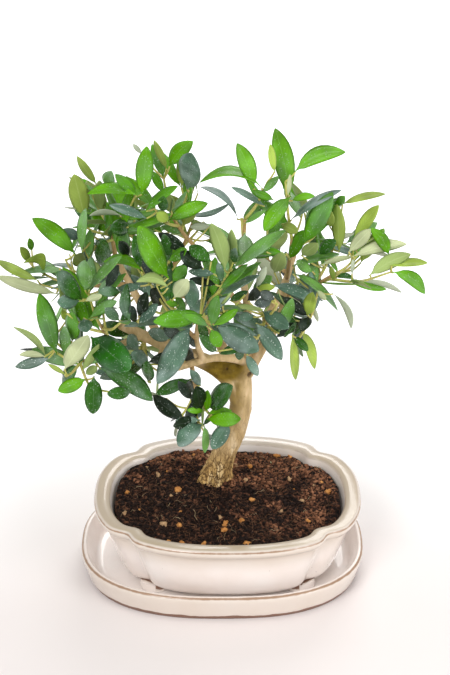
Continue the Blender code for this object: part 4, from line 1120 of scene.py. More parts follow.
def rounded_profile(corners):
    """A profile of inset and height with its corners cut, then spaced evenly."""
    line = [Vector(corner) for corner in corners]
    for _ in range(CORNER_ROUNDS):
        cut = [line[0]]
        for start, end in zip(line, line[1:]):
            reach = min(CORNER_SHARE, CORNER_CUT / max((end - start).length, 1e-6))
            cut.append(start.lerp(end, reach))
            cut.append(end.lerp(start, reach))
        line = cut + [line[-1]]
    spaced = [line[0]]
    for start, end in zip(line, line[1:]):
        steps = max(1, round((end - start).length / GLAZE_STEP))
        spaced += [start.lerp(end, step / steps) for step in range(1, steps + 1)]
    return spaced


def broken(breaks, inset, height):
    """How brown the glaze is at a place of a profile: strongest on the corners of the breaks."""
    strengths = [0.0]
    for item in breaks:
        away = (Vector((inset, height)) - Vector((item.inset, item.height))).length
        strengths.append(item.strength * (1.0 - away / item.reach))
    return max(strengths)


def lofted_ware(name, profile, ring_at, tint_at):
    """A lofted piece of ware and its glaze values, from a profile and a ring function."""
    points = []
    tints = []
    for inset, height in profile:
        ring = ring_at(inset, height)
        tints += [*tint_at(inset, height), 1.0] * len(ring)
        for point in ring:
            waver = noise.noise(point * WAVER_SCALE) * WAVER_DEPTH
            points.append(point + Vector((point.x, point.y, 0.0)).normalized() * waver)
    mesh = mesh_of(name, points, ring_faces(len(profile), POT_STEPS))
    layer = mesh.color_attributes.new("glaze_break", "FLOAT_COLOR", "POINT")
    layer.data.foreach_set("color", tints)
    mesh.materials.append(finish_named("glaze"))
    mesh.set_sharp_from_angle(angle=GLAZE_SHARP)
    return mesh


def tray_ring(inset, height):
    """A level ring of the tray's oval, drawn in from its rim."""
    ring = []
    for step in range(POT_STEPS):
        angle = 2 * math.pi * step / POT_STEPS
        reach = oval_radius(angle, TRAY_HALF[0] - inset, TRAY_HALF[1] - inset, TRAY_ROUNDNESS)
        ring.append(Vector((reach * math.cos(angle), reach * math.sin(angle), height)))
    return ring


def pot_ring(inset, height, steps=POT_STEPS):
    """A level ring of the pot's four-lobed outline, drawn in from the lip's edge."""
    ring = []
    for step in range(steps):
        angle = 2 * math.pi * step / steps
        reach = oval_radius(angle, POT_HALF[0] - inset, POT_HALF[1] - inset, POT_ROUNDNESS)
        corner = abs(math.asin(min(1.0, abs(math.sin(angle))))) - POT_NOTCH_ANGLE
        reach *= 1.0 - POT_NOTCH_DEPTH * math.exp(-(corner / POT_NOTCH_SPREAD) ** 2)
        x = POT_CENTRE[0] + reach * math.cos(angle)
        y = POT_CENTRE[1] + reach * math.sin(angle)
        ring.append(Vector((x, y, height)))
    return ring


def tray_tint(inset, height):
    """The tray's brown rim, bare foot and painted shade on its outer wall."""
    leaning = TRAY_FOOT_INSET * (1.0 - height / TRAY_HEIGHT)
    # Painted shade on the tray's outer wall
    wall = ease(*TRAY_SHADE_INSET, inset - leaning)
    return broken(TRAY_BREAKS, inset, height), ease(*TRAY_BARE, height), TRAY_SHADE * wall


def pot_tint(inset, height):
    """Brown on the lip's outer edge, fainter inside and under it; a darker ivory on its top, partly its own
    colour and partly painted shade; and painted shade on the upper wall under the lip.
    """
    drop = POT_TOP - height
    # Painted shade: darker ivory on the lip's top, partly its own colour, and a darkening of the upper wall
    # under the lip
    top = ease(*LIP_SHADE_DROP, drop) * ease(*LIP_SHADE_INSET, inset)
    wall = WALL_SHADE * ease(*WALL_SHADE_DROP, drop) * ease(POT_LIP_WIDTH, WALL_SHADE_INSET, inset)
    return broken(POT_BREAKS, inset, height), 0.0, max(top, wall)


def cut_or_join(owner, shape, operation):
    """Add a Boolean by another object, which is kept out of the render."""
    modifier = owner.modifiers.new(shape.name, "BOOLEAN")
    modifier.operation = operation
    modifier.object = shape


def cylinder(name, at, radius, depth):
    """An upright cylinder that is used to shape another piece."""
    bpy.ops.mesh.primitive_cylinder_add(vertices=FOOT_STEPS, radius=radius, depth=depth, location=at)
    made = bpy.context.object
    made.name = name
    return made


def make_tray():
    """The drip tray with its rounded rim."""
    inner = TRAY_FOOT_INSET + TRAY_RIM
    profile = rounded_profile((
        (TRAY_FOOT_INSET, 0.0),
        (TRAY_FOOT_INSET - TRAY_EDGE, TRAY_FOOT_HEIGHT),
        (TRAY_RIM_SWELL, TRAY_HEIGHT - TRAY_RIM_DEPTH),
        (0.0, TRAY_HEIGHT - TRAY_EDGE),
        (TRAY_EDGE, TRAY_HEIGHT),
        (TRAY_RIM - TRAY_RIM_INNER[0], TRAY_HEIGHT),
        (TRAY_RIM, TRAY_HEIGHT - TRAY_RIM_INNER[1]),
        (inner, TRAY_FLOOR + TRAY_EDGE),
        (inner + TRAY_FLOOR_EDGE, TRAY_FLOOR),
        (inner + TRAY_FLOOR_DEPTH, TRAY_FLOOR),
    ))
    mesh = lofted_ware("tray_ware", profile, tray_ring, tray_tint)
    show_piece("tray_ware", mesh, ("drip_tray",))


def pot_profile():
    """The pot's outline of inset and height, from its base over the lip to its floor."""
    lip_under = POT_TOP - POT_LIP_DROP
    throat = POT_LIP_OVERHANG + POT_WALL + POT_WALL_SWELL
    return rounded_profile((
        (POT_BASE_INSET + POT_BASE_ROUND + POT_BASE_DEPTH, POT_BODY),
        (POT_BASE_INSET + POT_BASE_ROUND, POT_BODY),
        (POT_BASE_INSET, POT_BODY + POT_BASE_ROUND),
        (POT_LIP_OVERHANG, lip_under - POT_LIP_ROUND),
        (POT_LIP_ROUND / 2, lip_under + POT_LIP_ROUND / 2),
        (0.0, POT_TOP - POT_LIP_ROUND),
        (POT_LIP_ROUND * POT_LIP_SHOULDER, POT_TOP),
        (POT_LIP_WIDTH - POT_LIP_ROUND, POT_TOP),
        (POT_LIP_WIDTH, POT_TOP - POT_LIP_ROUND),
        (throat, POT_TOP - POT_THROAT_DEPTH),
        (POT_BASE_INSET + POT_WALL, POT_FLOOR),
    ))


def make_pot():
    """The lobed pot with feet and drain holes."""
    blank = bpy.data.objects.new("pot_blank", lofted_ware("pot_blank", pot_profile(), pot_ring, pot_tint))
    bpy.context.scene.collection.objects.link(blank)
    shapes = []
    foot_top = POT_BODY + FOOT_SINK
    for side_x in (-1, 1):
        for side_y in (-1, 1):
            at = (POT_CENTRE[0] + side_x * FOOT_AT[0], side_y * FOOT_AT[1], (POT_FEET + foot_top) / 2)
            shapes.append((cylinder("foot_shape", at, FOOT_RADIUS, foot_top - POT_FEET), "UNION"))
    for side in (-1, 1):
        at = (POT_CENTRE[0] + side * DRAIN_SPACING / 2, 0.0, POT_BODY)
        shapes.append((cylinder("drain_shape", at, DRAIN_RADIUS, POT_TOP), "DIFFERENCE"))
    for shape, operation in shapes:
        cut_or_join(blank, shape, operation)
    mesh = evaluated(blank)
    mesh.name = "pot_ware"
    layer = mesh.color_attributes["glaze_break"]
    for vert, value in zip(mesh.vertices, layer.data):
        if vert.co.z < POT_BODY - FOOT_BARE_GAP:
            value.color = (0.0, 0.0, 0.0, 1.0)
    for item in [blank] + [shape for shape, _ in shapes]:
        bpy.data.objects.remove(item)
    show_piece("pot_ware", mesh, ("pot",))


# Soil

def soil_height(x, y):
    """The height of the peat: mounded towards the trunk, lumpy, and level beside the rim."""
    place = Vector((x, y, 0.0))
    away = place - TRUNK_FOOT
    reach = soil_reach(math.atan2(away.y, away.x))
    share = max(0.0, min(1.0, (away.length - SOIL_SEAT) / (reach - SOIL_SEAT)))
    height = mix(SOIL_SEAT_TOP, SOIL_EDGE, share ** SOIL_SLOPE)
    lumps = noise.fractal(place * SOIL_LUMP_SCALE, 1.0, 2.0, 4) * SOIL_LUMP
    return (height + lumps * min(1.0, SOIL_EDGE_LUMP + share)
            + soil_heave(place) * math.sin(math.pi * share)
            + soil_heap(place) * math.sin(math.pi / 2 * share))


def soil_heave(point):
    """The height of the peat's swells at a place: low rounded heaps at an even spacing."""
    turn = 2 * math.pi / SOIL_HEAVE_SPACING
    across = math.sin(turn * point.x + math.sin(turn * point.y * SOIL_HEAVE_TWISTS[0]))
    twist = math.sin(turn * point.x * SOIL_HEAVE_TWISTS[1])
    return SOIL_HEAVE * across * math.cos(turn * point.y * SOIL_HEAVE_STRETCH + twist)


def soil_heap(point):
    """How much higher the peat is banked at a place, behind the trunk on the left."""
    away = Vector((point.x - SOIL_HEAP_AT[0], point.y - SOIL_HEAP_AT[1]))
    return SOIL_HEAP * math.exp(-(away.length / SOIL_HEAP_SPREAD) ** 2)


@lru_cache(maxsize=None)
def soil_ring():
    """The peat's edge, a level ring inside the pot's wall."""
    return pot_ring(SOIL_INSET + SOIL_EDGE_GAP, 0.0, SOIL_STEPS)


def soil_reach(angle):
    """How far the peat goes from the trunk's foot in one direction."""
    way = Vector((math.cos(angle), math.sin(angle), 0.0))
    reaches = []
    for point in soil_ring():
        offset = point - TRUNK_FOOT
        same_way = way.dot(offset.normalized())
        if same_way > SOIL_SAME_WAY:
            reaches.append(way.dot(offset) / same_way)
    return max(reaches)


def make_soil(settings):
    """The peat bed with its crumbs, grit and root fibres."""
    make_peat_bed()
    draw = random.Random(SOIL_SEED)
    for name, add, count in (
        ("peat_crumbs", add_crumb, settings.crumbs),
        ("grit", add_grit, settings.grit),
        ("peat_fibres", add_fibre, settings.fibres),
    ):
        batch = MeshBatch()
        for _ in range(count):
            add(batch, draw)
        show_piece(name, batch.build(name))


def make_peat_bed():
    """The peat as one body: its walls inside the pot, then rings that close in on the trunk's foot."""
    rows = [
        pot_ring(POT_BASE_INSET + POT_WALL + SOIL_WALL_GAP, POT_FLOOR + SOIL_FLOOR_GAP, SOIL_STEPS),
        pot_ring(SOIL_INSET, POT_TOP - POT_THROAT_DEPTH, SOIL_STEPS),
    ]
    closing, bunching = SOIL_RING_CLOSING
    for ring in range(SOIL_RINGS):
        share = 1.0 - closing * (ring / (SOIL_RINGS - 1)) ** bunching
        flats = [TRUNK_FOOT.lerp(point, share) for point in soil_ring()]
        rows.append([Vector((flat.x, flat.y, soil_height(flat.x, flat.y))) for flat in flats])
    points = [point for row in rows for point in row]
    mesh = mesh_of("peat_bed", points, ring_faces(len(rows), SOIL_STEPS))
    mesh.materials.append(finish_named("peat"))
    show_piece("peat_bed", mesh, ("soil",))


def add_crumb(batch, draw):
    """A crumb of peat, the redder the further to the right and to the back it lies."""
    size = mix(*CRUMB_SIZES, draw.random() ** CRUMB_FINENESS)
    at = scattered(draw)
    red = CRUMB_RED
    red += CRUMB_RED_SLOPE[0] * (at.x - CRUMB_RED_FROM[0])
    red += CRUMB_RED_SLOPE[1] * (at.y - CRUMB_RED_FROM[1])
    red += CRUMB_RED_PATCH * noise.noise(at * CRUMB_RED_PATCH_SCALE)
    red += draw.uniform(-CRUMB_RED_SPREAD, CRUMB_RED_SPREAD)
    look = "crumb_black"
    if red >= CRUMB_BROWN_FROM:
        look = "crumb_brown" if red < CRUMB_RED_ABOVE else "crumb_red"
    add_lump(batch, at, size, look, draw, 1)


def add_grit(batch, draw):
    """A pellet of grit on the peat."""
    size = mix(*GRIT_SIZES, draw.random())
    add_lump(batch, scattered(draw), size, draw.choice(GRIT_LOOKS), draw, 2)


def add_fibre(batch, draw):
    """A bent root fibre on the peat, left out where it would end off it."""
    line = [scattered(draw)]
    turn = draw.uniform(0.0, 2 * math.pi)
    length = draw.uniform(*FIBRE_LENGTHS)
    for _ in range(FIBRE_STEPS):
        turn += draw.uniform(-FIBRE_BEND, FIBRE_BEND)
        after = line[-1] + Vector((math.cos(turn), math.sin(turn), 0.0)) * length / FIBRE_STEPS
        after.z = soil_height(after.x, after.y) + draw.uniform(0.0, FIBRE_LIFT)
        line.append(after)
    if not on_soil(line[-1]):
        return
    radius = draw.uniform(*FIBRE_RADII)
    look = "fibre_pale" if draw.random() < FIBRE_PALE_SHARE else "fibre_brown"
    line = smooth_line(line, FIBRE_RINGS)
    points, faces = tube(line, lambda share: radius * (1.0 - FIBRE_TAPER * share), FIBRE_SIDES)
    batch.add(points, faces, look)


def on_soil(point):
    """Whether a point lies over the peat, clear of the rim."""
    away = Vector((point.x, point.y, 0.0)) - TRUNK_FOOT
    return away.length < soil_reach(math.atan2(away.y, away.x)) - SOIL_MARGIN


def scattered(draw):
    """A random place on the peat, off the trunk's foot."""
    while True:
        x = POT_CENTRE[0] + draw.uniform(-1.0, 1.0) * POT_HALF[0]
        y = POT_CENTRE[1] + draw.uniform(-1.0, 1.0) * POT_HALF[1]
        place = Vector((x, y, 0.0))
        if on_soil(place) and (place - TRUNK_FOOT).length > TRUNK_CLEARANCE:
            return Vector((x, y, soil_height(x, y)))


def add_lump(batch, at, size, look, draw, cuts):
    """A rough pebble that sits about half sunk in the peat."""
    bm = bmesh.new()
    bmesh.ops.create_icosphere(bm, subdivisions=cuts, radius=size)
    shape = Matrix.Diagonal([draw.uniform(*stretch) for stretch in LUMP_STRETCHES])
    turn = Matrix.Rotation(draw.uniform(0.0, 6.28), 3, "Z")
    turn = turn @ Matrix.Rotation(draw.uniform(-0.5, 0.5), 3, "X")
    offset = Vector((draw.uniform(0.0, 50.0), 0.0, 0.0))
    points = []
    for vert in bm.verts:
        rough = 1.0 + LUMP_ROUGHNESS * noise.noise(vert.co / size * LUMP_ROUGH_SCALE + offset)
        points.append(at + Vector((0.0, 0.0, size * LUMP_LIFT)) + turn @ (shape @ vert.co) * rough)
    faces = [[vert.index for vert in face.verts] for face in bm.faces]
    bm.free()
    batch.add(points, faces, look)


# Trunk and boughs

def limb_line(limb, count):
    """The smooth centre line of a limb, in metres."""
    return smooth_line([Vector(point) * MM for point in limb.line], count)


def trunk_rings():
    """The trunk's centre line and rings: lobed root flare on a level cut, tapering up to the fork."""
    base = SOIL_HIGH.z - TRUNK_SINK
    foot = Vector((TRUNK_FOOT.x, TRUNK_FOOT.y, base))
    line = smooth_line([foot] + [Vector(point) * MM for point in TRUNK_LINE], TRUNK_RINGS)
    points = []
    for index, point in enumerate(line):
        share = index / (len(line) - 1)
        heading = along(line, share)[1]
        rise = point.z - base
        flare = math.exp(-rise / TRUNK_FLARE_HEIGHT)
        level = max(0.0, 1.0 - rise / TRUNK_LEVEL_HEIGHT)
        upright = heading.lerp(UP, level).normalized()
        side = upright.cross(Vector((0.0, 1.0, 0.0))).normalized() * -1
        front = upright.cross(side).normalized()
        radius = TRUNK_RADIUS * mix(*TRUNK_TAPER, share) + TRUNK_FLARE * flare
        for step in range(TRUNK_SIDES):
            angle = 2 * math.pi * step / TRUNK_SIDES
            lobe = 1.0 + ROOT_LOBE_DEPTH * flare * math.cos(ROOT_LOBES * angle + ROOT_LOBE_TURN)
            points.append(point + (side * math.cos(angle) + front * math.sin(angle)) * radius * lobe)
    return line, points


def wood_blanks():
    """Plain tubes of the trunk, boughs and stubs, as points and faces."""
    line, points = trunk_rings()
    blanks = [(points, ring_faces(len(line), TRUNK_SIDES))]
    for limb in LIMBS:
        line = limb_line(limb, LIMB_RINGS)
        blanks.append(tube(line, lambda share: mix(limb.root, limb.tip, share) * MM, LIMB_SIDES))
    line = smooth_line([Vector(point) * MM for point in ARCH], ARCH_RINGS)
    blanks.append(tube(line, lambda share: mix(*ARCH_RADII, share) * MM, LIMB_SIDES))
    for start, end, root, tip in STUBS:
        line = [Vector(start) * MM, Vector(end) * MM]
        line = [line[0].lerp(line[1], part / STUB_STEPS) for part in range(STUB_STEPS + 1)]
        blanks.append(tube(line, lambda share: mix(root, tip, share) * MM, STUB_SIDES))
    return blanks


def along_grain(place, across, lengthwise):
    """A place scaled for noise, by one factor across the wood's grain and another along it."""
    return Vector((place.x * across, place.y * across, place.z * lengthwise))


def bark_at(place, normal, knots, fissure_depth):
    """How far the bark stands out at a place, then its painted shade (darker in cracks, knot holes and
    dips), its age, and its moss, with painted shade on the trunk's left side.
    """
    rise = place.z - SOIL_HIGH.z
    on_trunk = ease(*BARK_TRUNK_END, rise)
    age = on_trunk * max(ease(*BARK_OLD_END, rise), BARK_WORN_AGE * ease(*BARK_WORN_END, rise))
    crack = abs(noise.fractal(along_grain(place, *BARK_CRACK_SCALES), 0.8, 2.1, 4))
    cracks = ease(BARK_CRACK_WIDTH, 0.0, crack)
    plates = noise.noise(along_grain(place, *BARK_PLATE_SCALES))
    fine = noise.fractal(place * BARK_FINE_SCALE, 1.0, 2.0, 3)
    swell = noise.noise(place * BARK_SWELL_SCALE + BARK_SWELL_FROM)
    depth = swell * BARK_SWELL + fine * BARK_FINE
    depth += age * (plates * BARK_PLATE - cracks * fissure_depth)
    # Painted shade: the relief value is lower in cracks, in dips between swells and in knot holes
    relief = 0.5 + swell * SWELL_SHADE - age * cracks * CRACK_SHADE
    for centre, size, hole in knots:
        away = (place - centre).length
        if away < KNOT_REACH * size:
            ring = math.exp(-((away - KNOT_RING * size) / (KNOT_RING_WIDTH * size)) ** 2)
            sunk = ease(hole * KNOT_HOLE[0] + KNOT_HOLE_EDGE, hole * KNOT_HOLE[1], away)
            depth += ring * size * KNOT_RISE
            depth -= sunk * (KNOT_DENT + hole * KNOT_HOLE_DEPTH)
            relief -= sunk * KNOT_SHADE[0] + ring * KNOT_SHADE[1]
    away = Vector([(part / MM - centre) / reach for part, centre, reach in zip(place, *CROTCH)])
    # Olive moss with painted shade on the trunk's left-facing side
    side = MOSS_AND_SHADE_SIDE * ease(*MOSS_AND_SHADE_SIDE_FACING, normal.x) * ease(*MOSS_AND_SHADE_SIDE_FROM, rise) * on_trunk
    return depth, relief, age, max(ease(*MOSS_FADE, away.length), side)


def bark_skin(voxel):
    """A smooth even mesh round the trunk, boughs and stubs."""
    points = []
    faces = []
    for blank_points, blank_faces in wood_blanks():
        faces += [tuple(index + len(points) for index in face) for face in blank_faces]
        points += blank_points
    blank = bpy.data.objects.new("bark_blank", mesh_of("bark_blank", points, faces))
    bpy.context.scene.collection.objects.link(blank)
    remesh = blank.modifiers.new("skin", "REMESH")
    remesh.mode = "VOXEL"
    remesh.voxel_size = voxel
    smooth = blank.modifiers.new("smooth", "SMOOTH")
    smooth.iterations = BARK_SMOOTHING
    smooth.factor = 0.5
    mesh = evaluated(blank)
    mesh.name = "bark"
    bpy.data.objects.remove(blank)
    return mesh


def make_bark(settings):
    """One skin of bark over the trunk, boughs and stubs, fissured at the foot, with knots."""
    mesh = bark_skin(settings.bark_voxel)
    knots = [(Vector(knot.at) * MM, knot.size * MM, knot.hole * MM) for knot in KNOTS]
    places = []
    tints = []
    skin = [(vert.co.copy(), vert.normal.copy()) for vert in mesh.vertices]
    for place, normal in skin:
        depth, *tint = bark_at(place, normal, knots, settings.fissure_depth)
        places.extend(place + normal * depth)
        tints.extend((*tint, 1.0))
    mesh.vertices.foreach_set("co", places)
    layer = mesh.color_attributes.new("bark_tint", "FLOAT_COLOR", "POINT")
    layer.data.foreach_set("color", tints)
    mesh.materials.clear()
    mesh.materials.append(finish_named("bark"))
    mesh.polygons.foreach_set("material_index", [0] * len(mesh.polygons))
    mesh.shade_smooth()
    show_piece("bark", mesh, ("trunk", *["bough_" + limb.name for limb in LIMBS]))


# Foliage

class TouchTest:
    """Remembers placed surfaces and tells whether a new one would touch them."""

    def __init__(self):
        self.points = []
        self.faces = []
        self.tree = None

    def add(self, points, faces):
        """Remember a surface."""
        offset = len(self.points)
        self.points += points
        self.faces += [[index + offset for index in face] for face in faces]
        self.tree = None

    def ready(self):
        """The search tree of all that is remembered."""
        if self.tree is None:
            self.tree = BVHTree.FromPolygons(self.points, self.faces)
        return self.tree

    def touches(self, points, faces):
        """Whether a surface crosses one that is remembered."""
        return bool(self.faces) and bool(self.ready().overlap(BVHTree.FromPolygons(points, faces)))


Blade = namedtuple("Blade", "root way facing length width bow arch fold upper under")


def blade_frame(blade):
    """A leaf's forward, sideways and upward directions."""
    forward = blade.way.normalized()
    side = forward.cross(blade.facing).normalized()
    return forward, side, side.cross(forward).normalized()


def blade_centre(blade, share, forward, normal):
    """A point on a leaf's midrib."""
    bend = 4.0 * share * (1.0 - share)
    return blade.root + forward * blade.length * share + blade.bow * bend + normal * blade.arch * bend


def half_width(blade, share):
    """A leaf's half width along its length: a slim stalk, then swelling and closing to its point."""
    stout = ease(*LEAF_STOUTNESS, blade.width / blade.length)
    place = share ** LEAF_LEAN
    swell = (4.0 * place * max(0.0, 1.0 - place)) ** mix(*LEAF_POWERS, stout)
    return blade.width / 2 * max(swell * ease(0.0, STALK_SHARE, share), STALK_WIDTH * (share < 0.5))


def add_blade(batch, blade):
    """A closed thin leaf with a stalk and a shallow fold along its midrib."""
    forward, side, normal = blade_frame(blade)
    points = []
    places = []
    for share in LEAF_SHARES:
        half = half_width(blade, share)
        centre = blade_centre(blade, share, forward, normal)
        slack = LEAF_THICKNESS / 2 * min(1.0, LEAF_THIN_SHARE + half / LEAF_FULL_HALF)
        for index, across in enumerate(LEAF_SECTION):
            below = index > LEAF_UPPER_EDGES
            lift = blade.fold * half * (abs(across) - LEAF_FOLD_LEVEL)
            lift -= LEAF_EDGE_DROP * half * across * across
            body = slack * (1.0 - across * across) * (-1.0 if below else 1.0)
            if abs(across) < 0.1 and not below:
                body -= slack * LEAF_GROOVE
            points.append(centre + side * half * across + normal * (lift + body))
            places.append((0.5 + across / 2, share))
    points.append(blade_centre(blade, 1.0, forward, normal))
    places.append((0.5, 1.0))
    count = len(LEAF_SECTION)
    faces = []
    looks = []
    for row in range(len(LEAF_SHARES) - 1):
        for step in range(count):
            after = (step + 1) % count
            low = row * count
            faces.append((low + step, low + after, low + count + after, low + count + step))
            looks.append(blade.upper if step < LEAF_UPPER_EDGES else blade.under)
    last = (len(LEAF_SHARES) - 1) * count
    for step in range(count):
        faces.append((last + step, last + (step + 1) % count, len(points) - 1))
        looks.append(blade.upper if step < LEAF_UPPER_EDGES else blade.under)
    faces.append(tuple(reversed(range(count))))
    looks.append(blade.under)
    batch.add(points, faces, looks, places)


def plain_strip(blade, skip, grow):
    """A leaf as a flat strip of a few faces, for touch tests, less a stretch beside its root."""
    forward, side, normal = blade_frame(blade)
    points = []
    shares = (skip, *STRIP_SHARES)
    for share in shares:
        half = half_width(blade, min(share, STRIP_LAST)) + grow
        centre = blade_centre(blade, share, forward, normal)
        points += [centre - side * half, centre + side * half]
    return points, [(row * 2, row * 2 + 1, row * 2 + 3, row * 2 + 2) for row in range(len(shares) - 1)]


def inside_reach(point, mass, room=1.0):
    """Whether a point lies in the space that a mass keeps to."""
    total = 0.0
    for value, centre, reach in zip(point, mass.hub, mass.reach):
        total += ((value / MM - centre) / (reach * room)) ** 2
    return total <= 1.0


def inside_box(point):
    """Whether a point lies in the box of the frame's solids."""
    return all(low + LEAF_THICKNESS < value < high - LEAF_THICKNESS
               for low, value, high in zip(CAD_BOX[0], point, CAD_BOX[1]))


def shoot_line(start, end, lift):
    """A shoot that leaves its stem low and turns up towards its end."""
    middle = start.lerp(end, 0.5) - UP * lift * (end - start).length
    return smooth_line([start, middle, end], TWIG_POINTS)


def added_tips(mass):
    """The ends of the shoots that the rule adds, fanned round the way that the mass faces."""
    hub = Vector(mass.hub)
    outward = (hub - Vector(CROWN_HEART)).normalized()
    side = outward.orthogonal().normalized()
    other = outward.cross(side)
    draw = random.Random(mass.seed)
    turn = draw.uniform(0.0, 2 * math.pi)
    tips = []
    for index in range(mass.fill):
        angle = turn + index * GOLDEN_ANGLE
        way = outward * ADDED_OUTWARD + side * math.cos(angle) + other * math.sin(angle)
        way.normalize()
        tips.append(hub + Vector([part * reach * ADDED_REACH for part, reach in zip(way, mass.reach)]))
    return tips


def mass_twigs(mass, limb_lines):
    """The lines of a mass's stem and shoots, each with its radii and age."""
    hub = Vector(mass.hub) * MM
    limb = next(limb for limb in LIMBS if limb.name == mass.limb)
    point = along(limb_lines[mass.limb], mass.at)[0]
    half = mix(limb.root, limb.tip, mass.at) * MM
    seat = point + (hub - point).normalized() * half * SEAT_SHARE
    stem = shoot_line(seat, hub, STEM_SAG)
    twigs = [(stem, TWIG_RADII, "twig_old")]
    ends = [Vector(tip) for tip in mass.tips] + added_tips(mass)
    for index, tip in enumerate(ends):
        share = 1.0 - SHOOT_SPREAD * index / max(1, len(ends) - 1)
        start = along(stem, share)[0]
        twigs.append((shoot_line(start, tip * MM, SHOOT_SAG), SHOOT_RADII, "twig_young"))
    return twigs


def side_spurs(mass, shoots, draw):
    """Short side shoots that the rule carries on from the shoots."""
    spurs = []
    for line in shoots:
        count = max(1, round(line_length(line) / SPUR_SPACING))
        for index in range(count):
            if draw.random() > SPUR_SHARE:
                continue
            point, heading = along(line, SPUR_STRETCH[0] + SPUR_STRETCH[1] * (index + draw.random()) / count)
            side = heading.orthogonal().normalized()
            side.rotate(Matrix.Rotation(draw.uniform(0.0, 6.28), 3, heading))
            way = (heading * SPUR_WAY[0] + side * SPUR_WAY[1] + UP * SPUR_WAY[2]).normalized()
            end = point + way * draw.uniform(*SPUR_LENGTH)
            if inside_reach(end, mass, SPUR_ROOM):
                spurs.append(shoot_line(point, end, SPUR_SAG))
    return spurs


def leaf_places(mass, line, draw, first):
    """Root, heading, facing and length of each leaf along a shoot, in crossed pairs."""
    length = line_length(line)
    pairs = max(1, int(length / LEAF_SPACING))
    roll = draw.uniform(0.0, math.pi)
    for pair in range(pairs + 1):
        share = mix(first, 1.0, pair / pairs)
        point, heading = along(line, share)
        side = heading.orthogonal().normalized()
        crossed = roll + pair * math.pi / 2 + draw.uniform(-LEAF_ROLL, LEAF_ROLL)
        side.rotate(Matrix.Rotation(crossed, 3, heading))
        lean = mix(*LEAF_LEANS, pair / pairs) + draw.uniform(-LEAF_LEAN_SPREAD, LEAF_LEAN_SPREAD)
        for way in (-1, 1):
            turned = side * way + UP * LEAF_RISE
            out = heading * math.cos(lean) + turned.normalized() * math.sin(lean)
            facing = heading + UP * draw.uniform(*LEAF_FACE_UP)
            facing += side.cross(heading) * draw.uniform(-LEAF_FACE_SIDE, LEAF_FACE_SIDE)
            size = mass.leaf * MM * draw.uniform(*LEAF_SIZES)
            yield point, out, facing, size


def plain_blade(leaf, twig_points, seed):
    """A listed leaf's blade and the twig point that bears it, moved back until it is in the box."""
    for step in range(SET_BACKWARD_TRIES):
        near = leaf.near - SET_BACKWARD_STEP * step
        blade, bearer = blade_at_depth(leaf, near, twig_points, random.Random(seed))
        forward, _, normal = blade_frame(blade)
        if all(inside_box(blade_centre(blade, share, forward, normal)) for share in BOX_SHARES):
            break
    return blade, bearer


def blade_at_depth(leaf, near, twig_points, draw):
    """The blade of a listed leaf that lies so many millimetres nearer than its twig."""
    nearest = min(twig_points, key=lambda item: (Vector(item[1]) - Vector(leaf.root)).length)
    bearer = nearest[0]
    root = on_view(leaf.root, bearer.y)
    root += (VIEW_POINT - root).normalized() * near * MM
    to_view = (VIEW_POINT - root).normalized()
    scale = VIEW_FOCAL / (VIEW_POINT - root).length
    seen = (Vector(leaf.tip) - Vector(leaf.root)).length / scale
    seen_width = leaf.width / scale
    length = max(seen, min(LEAF_LONGEST, seen_width / LEAF_WIDTH_SHARE[1]))
    tip = on_view(leaf.tip, root.y)
    tip += (VIEW_POINT - tip).normalized() * math.sqrt(max(0.0, length * length - seen * seen))
    way = tip - root
    length = way.length
    width = max(seen_width, length * draw.uniform(*LEAF_WIDTH_SHARE))
    turn = math.acos(min(1.0, seen_width / width))
    forward = way.normalized()
    plain = (to_view - forward * to_view.dot(forward)).normalized()
    choices = []
    for sign in (-1, 1):
        facing = plain.copy()
        facing.rotate(Matrix.Rotation(sign * turn, 3, forward))
        choices.append(facing)
    under = leaf.tone in UNDER_TONES
    facing = (min if under else max)(choices, key=lambda choice: choice.z)
    if under:
        facing = -facing
    perp = Vector((leaf.tip[1] - leaf.root[1], leaf.root[0] - leaf.tip[0])).normalized()
    rightward = Vector((1.0, 0.0, 0.0))
    bow = (rightward * perp.x - sight_axes()[1] * perp.y) * (leaf.bow / scale)
    partner = PARTNER_TONES[leaf.tone]
    upper, lower = (partner, leaf.tone) if under else (leaf.tone, partner)
    arch = length * draw.uniform(*SET_ARCHES)
    fold = draw.uniform(*LEAF_FOLDS)
    blade = Blade(root, way, facing, length, width, bow, arch, fold, "leaf_" + upper, "leaf_" + lower)
    return blade, bearer


def hides_plain_leaf(blade, plain_test):
    """Whether a leaf stands before a listed leaf as the camera sees it."""
    tree = plain_test.ready()
    forward, side, normal = blade_frame(blade)
    for share in HIDE_SHARES:
        centre = blade_centre(blade, share, forward, normal)
        half = half_width(blade, share) * HIDE_WIDTH
        for across in (-1, 0, 1):
            point = centre + side * half * across
            away = (point - VIEW_POINT).normalized()
            if tree.ray_cast(point, away, HIDE_DEPTH)[0] is not None:
                return True
    return False


def leaves_crown_clear(blade):
    """Whether a leaf keeps inside the crown's edge and out of its gaps in the picture."""
    forward, side, normal = blade_frame(blade)
    for share in EDGE_SHARES:
        half = half_width(blade, share)
        for across in (-1, 0, 1):
            point = blade_centre(blade, share, forward, normal) + side * half * across
            pixel = in_view(point)
            if not inside_outline(pixel, CROWN_EDGE):
                return False
            if any((Vector(pixel) - Vector(centre)).length < radius for centre, radius in SKY_GAPS):
                return False
    return True


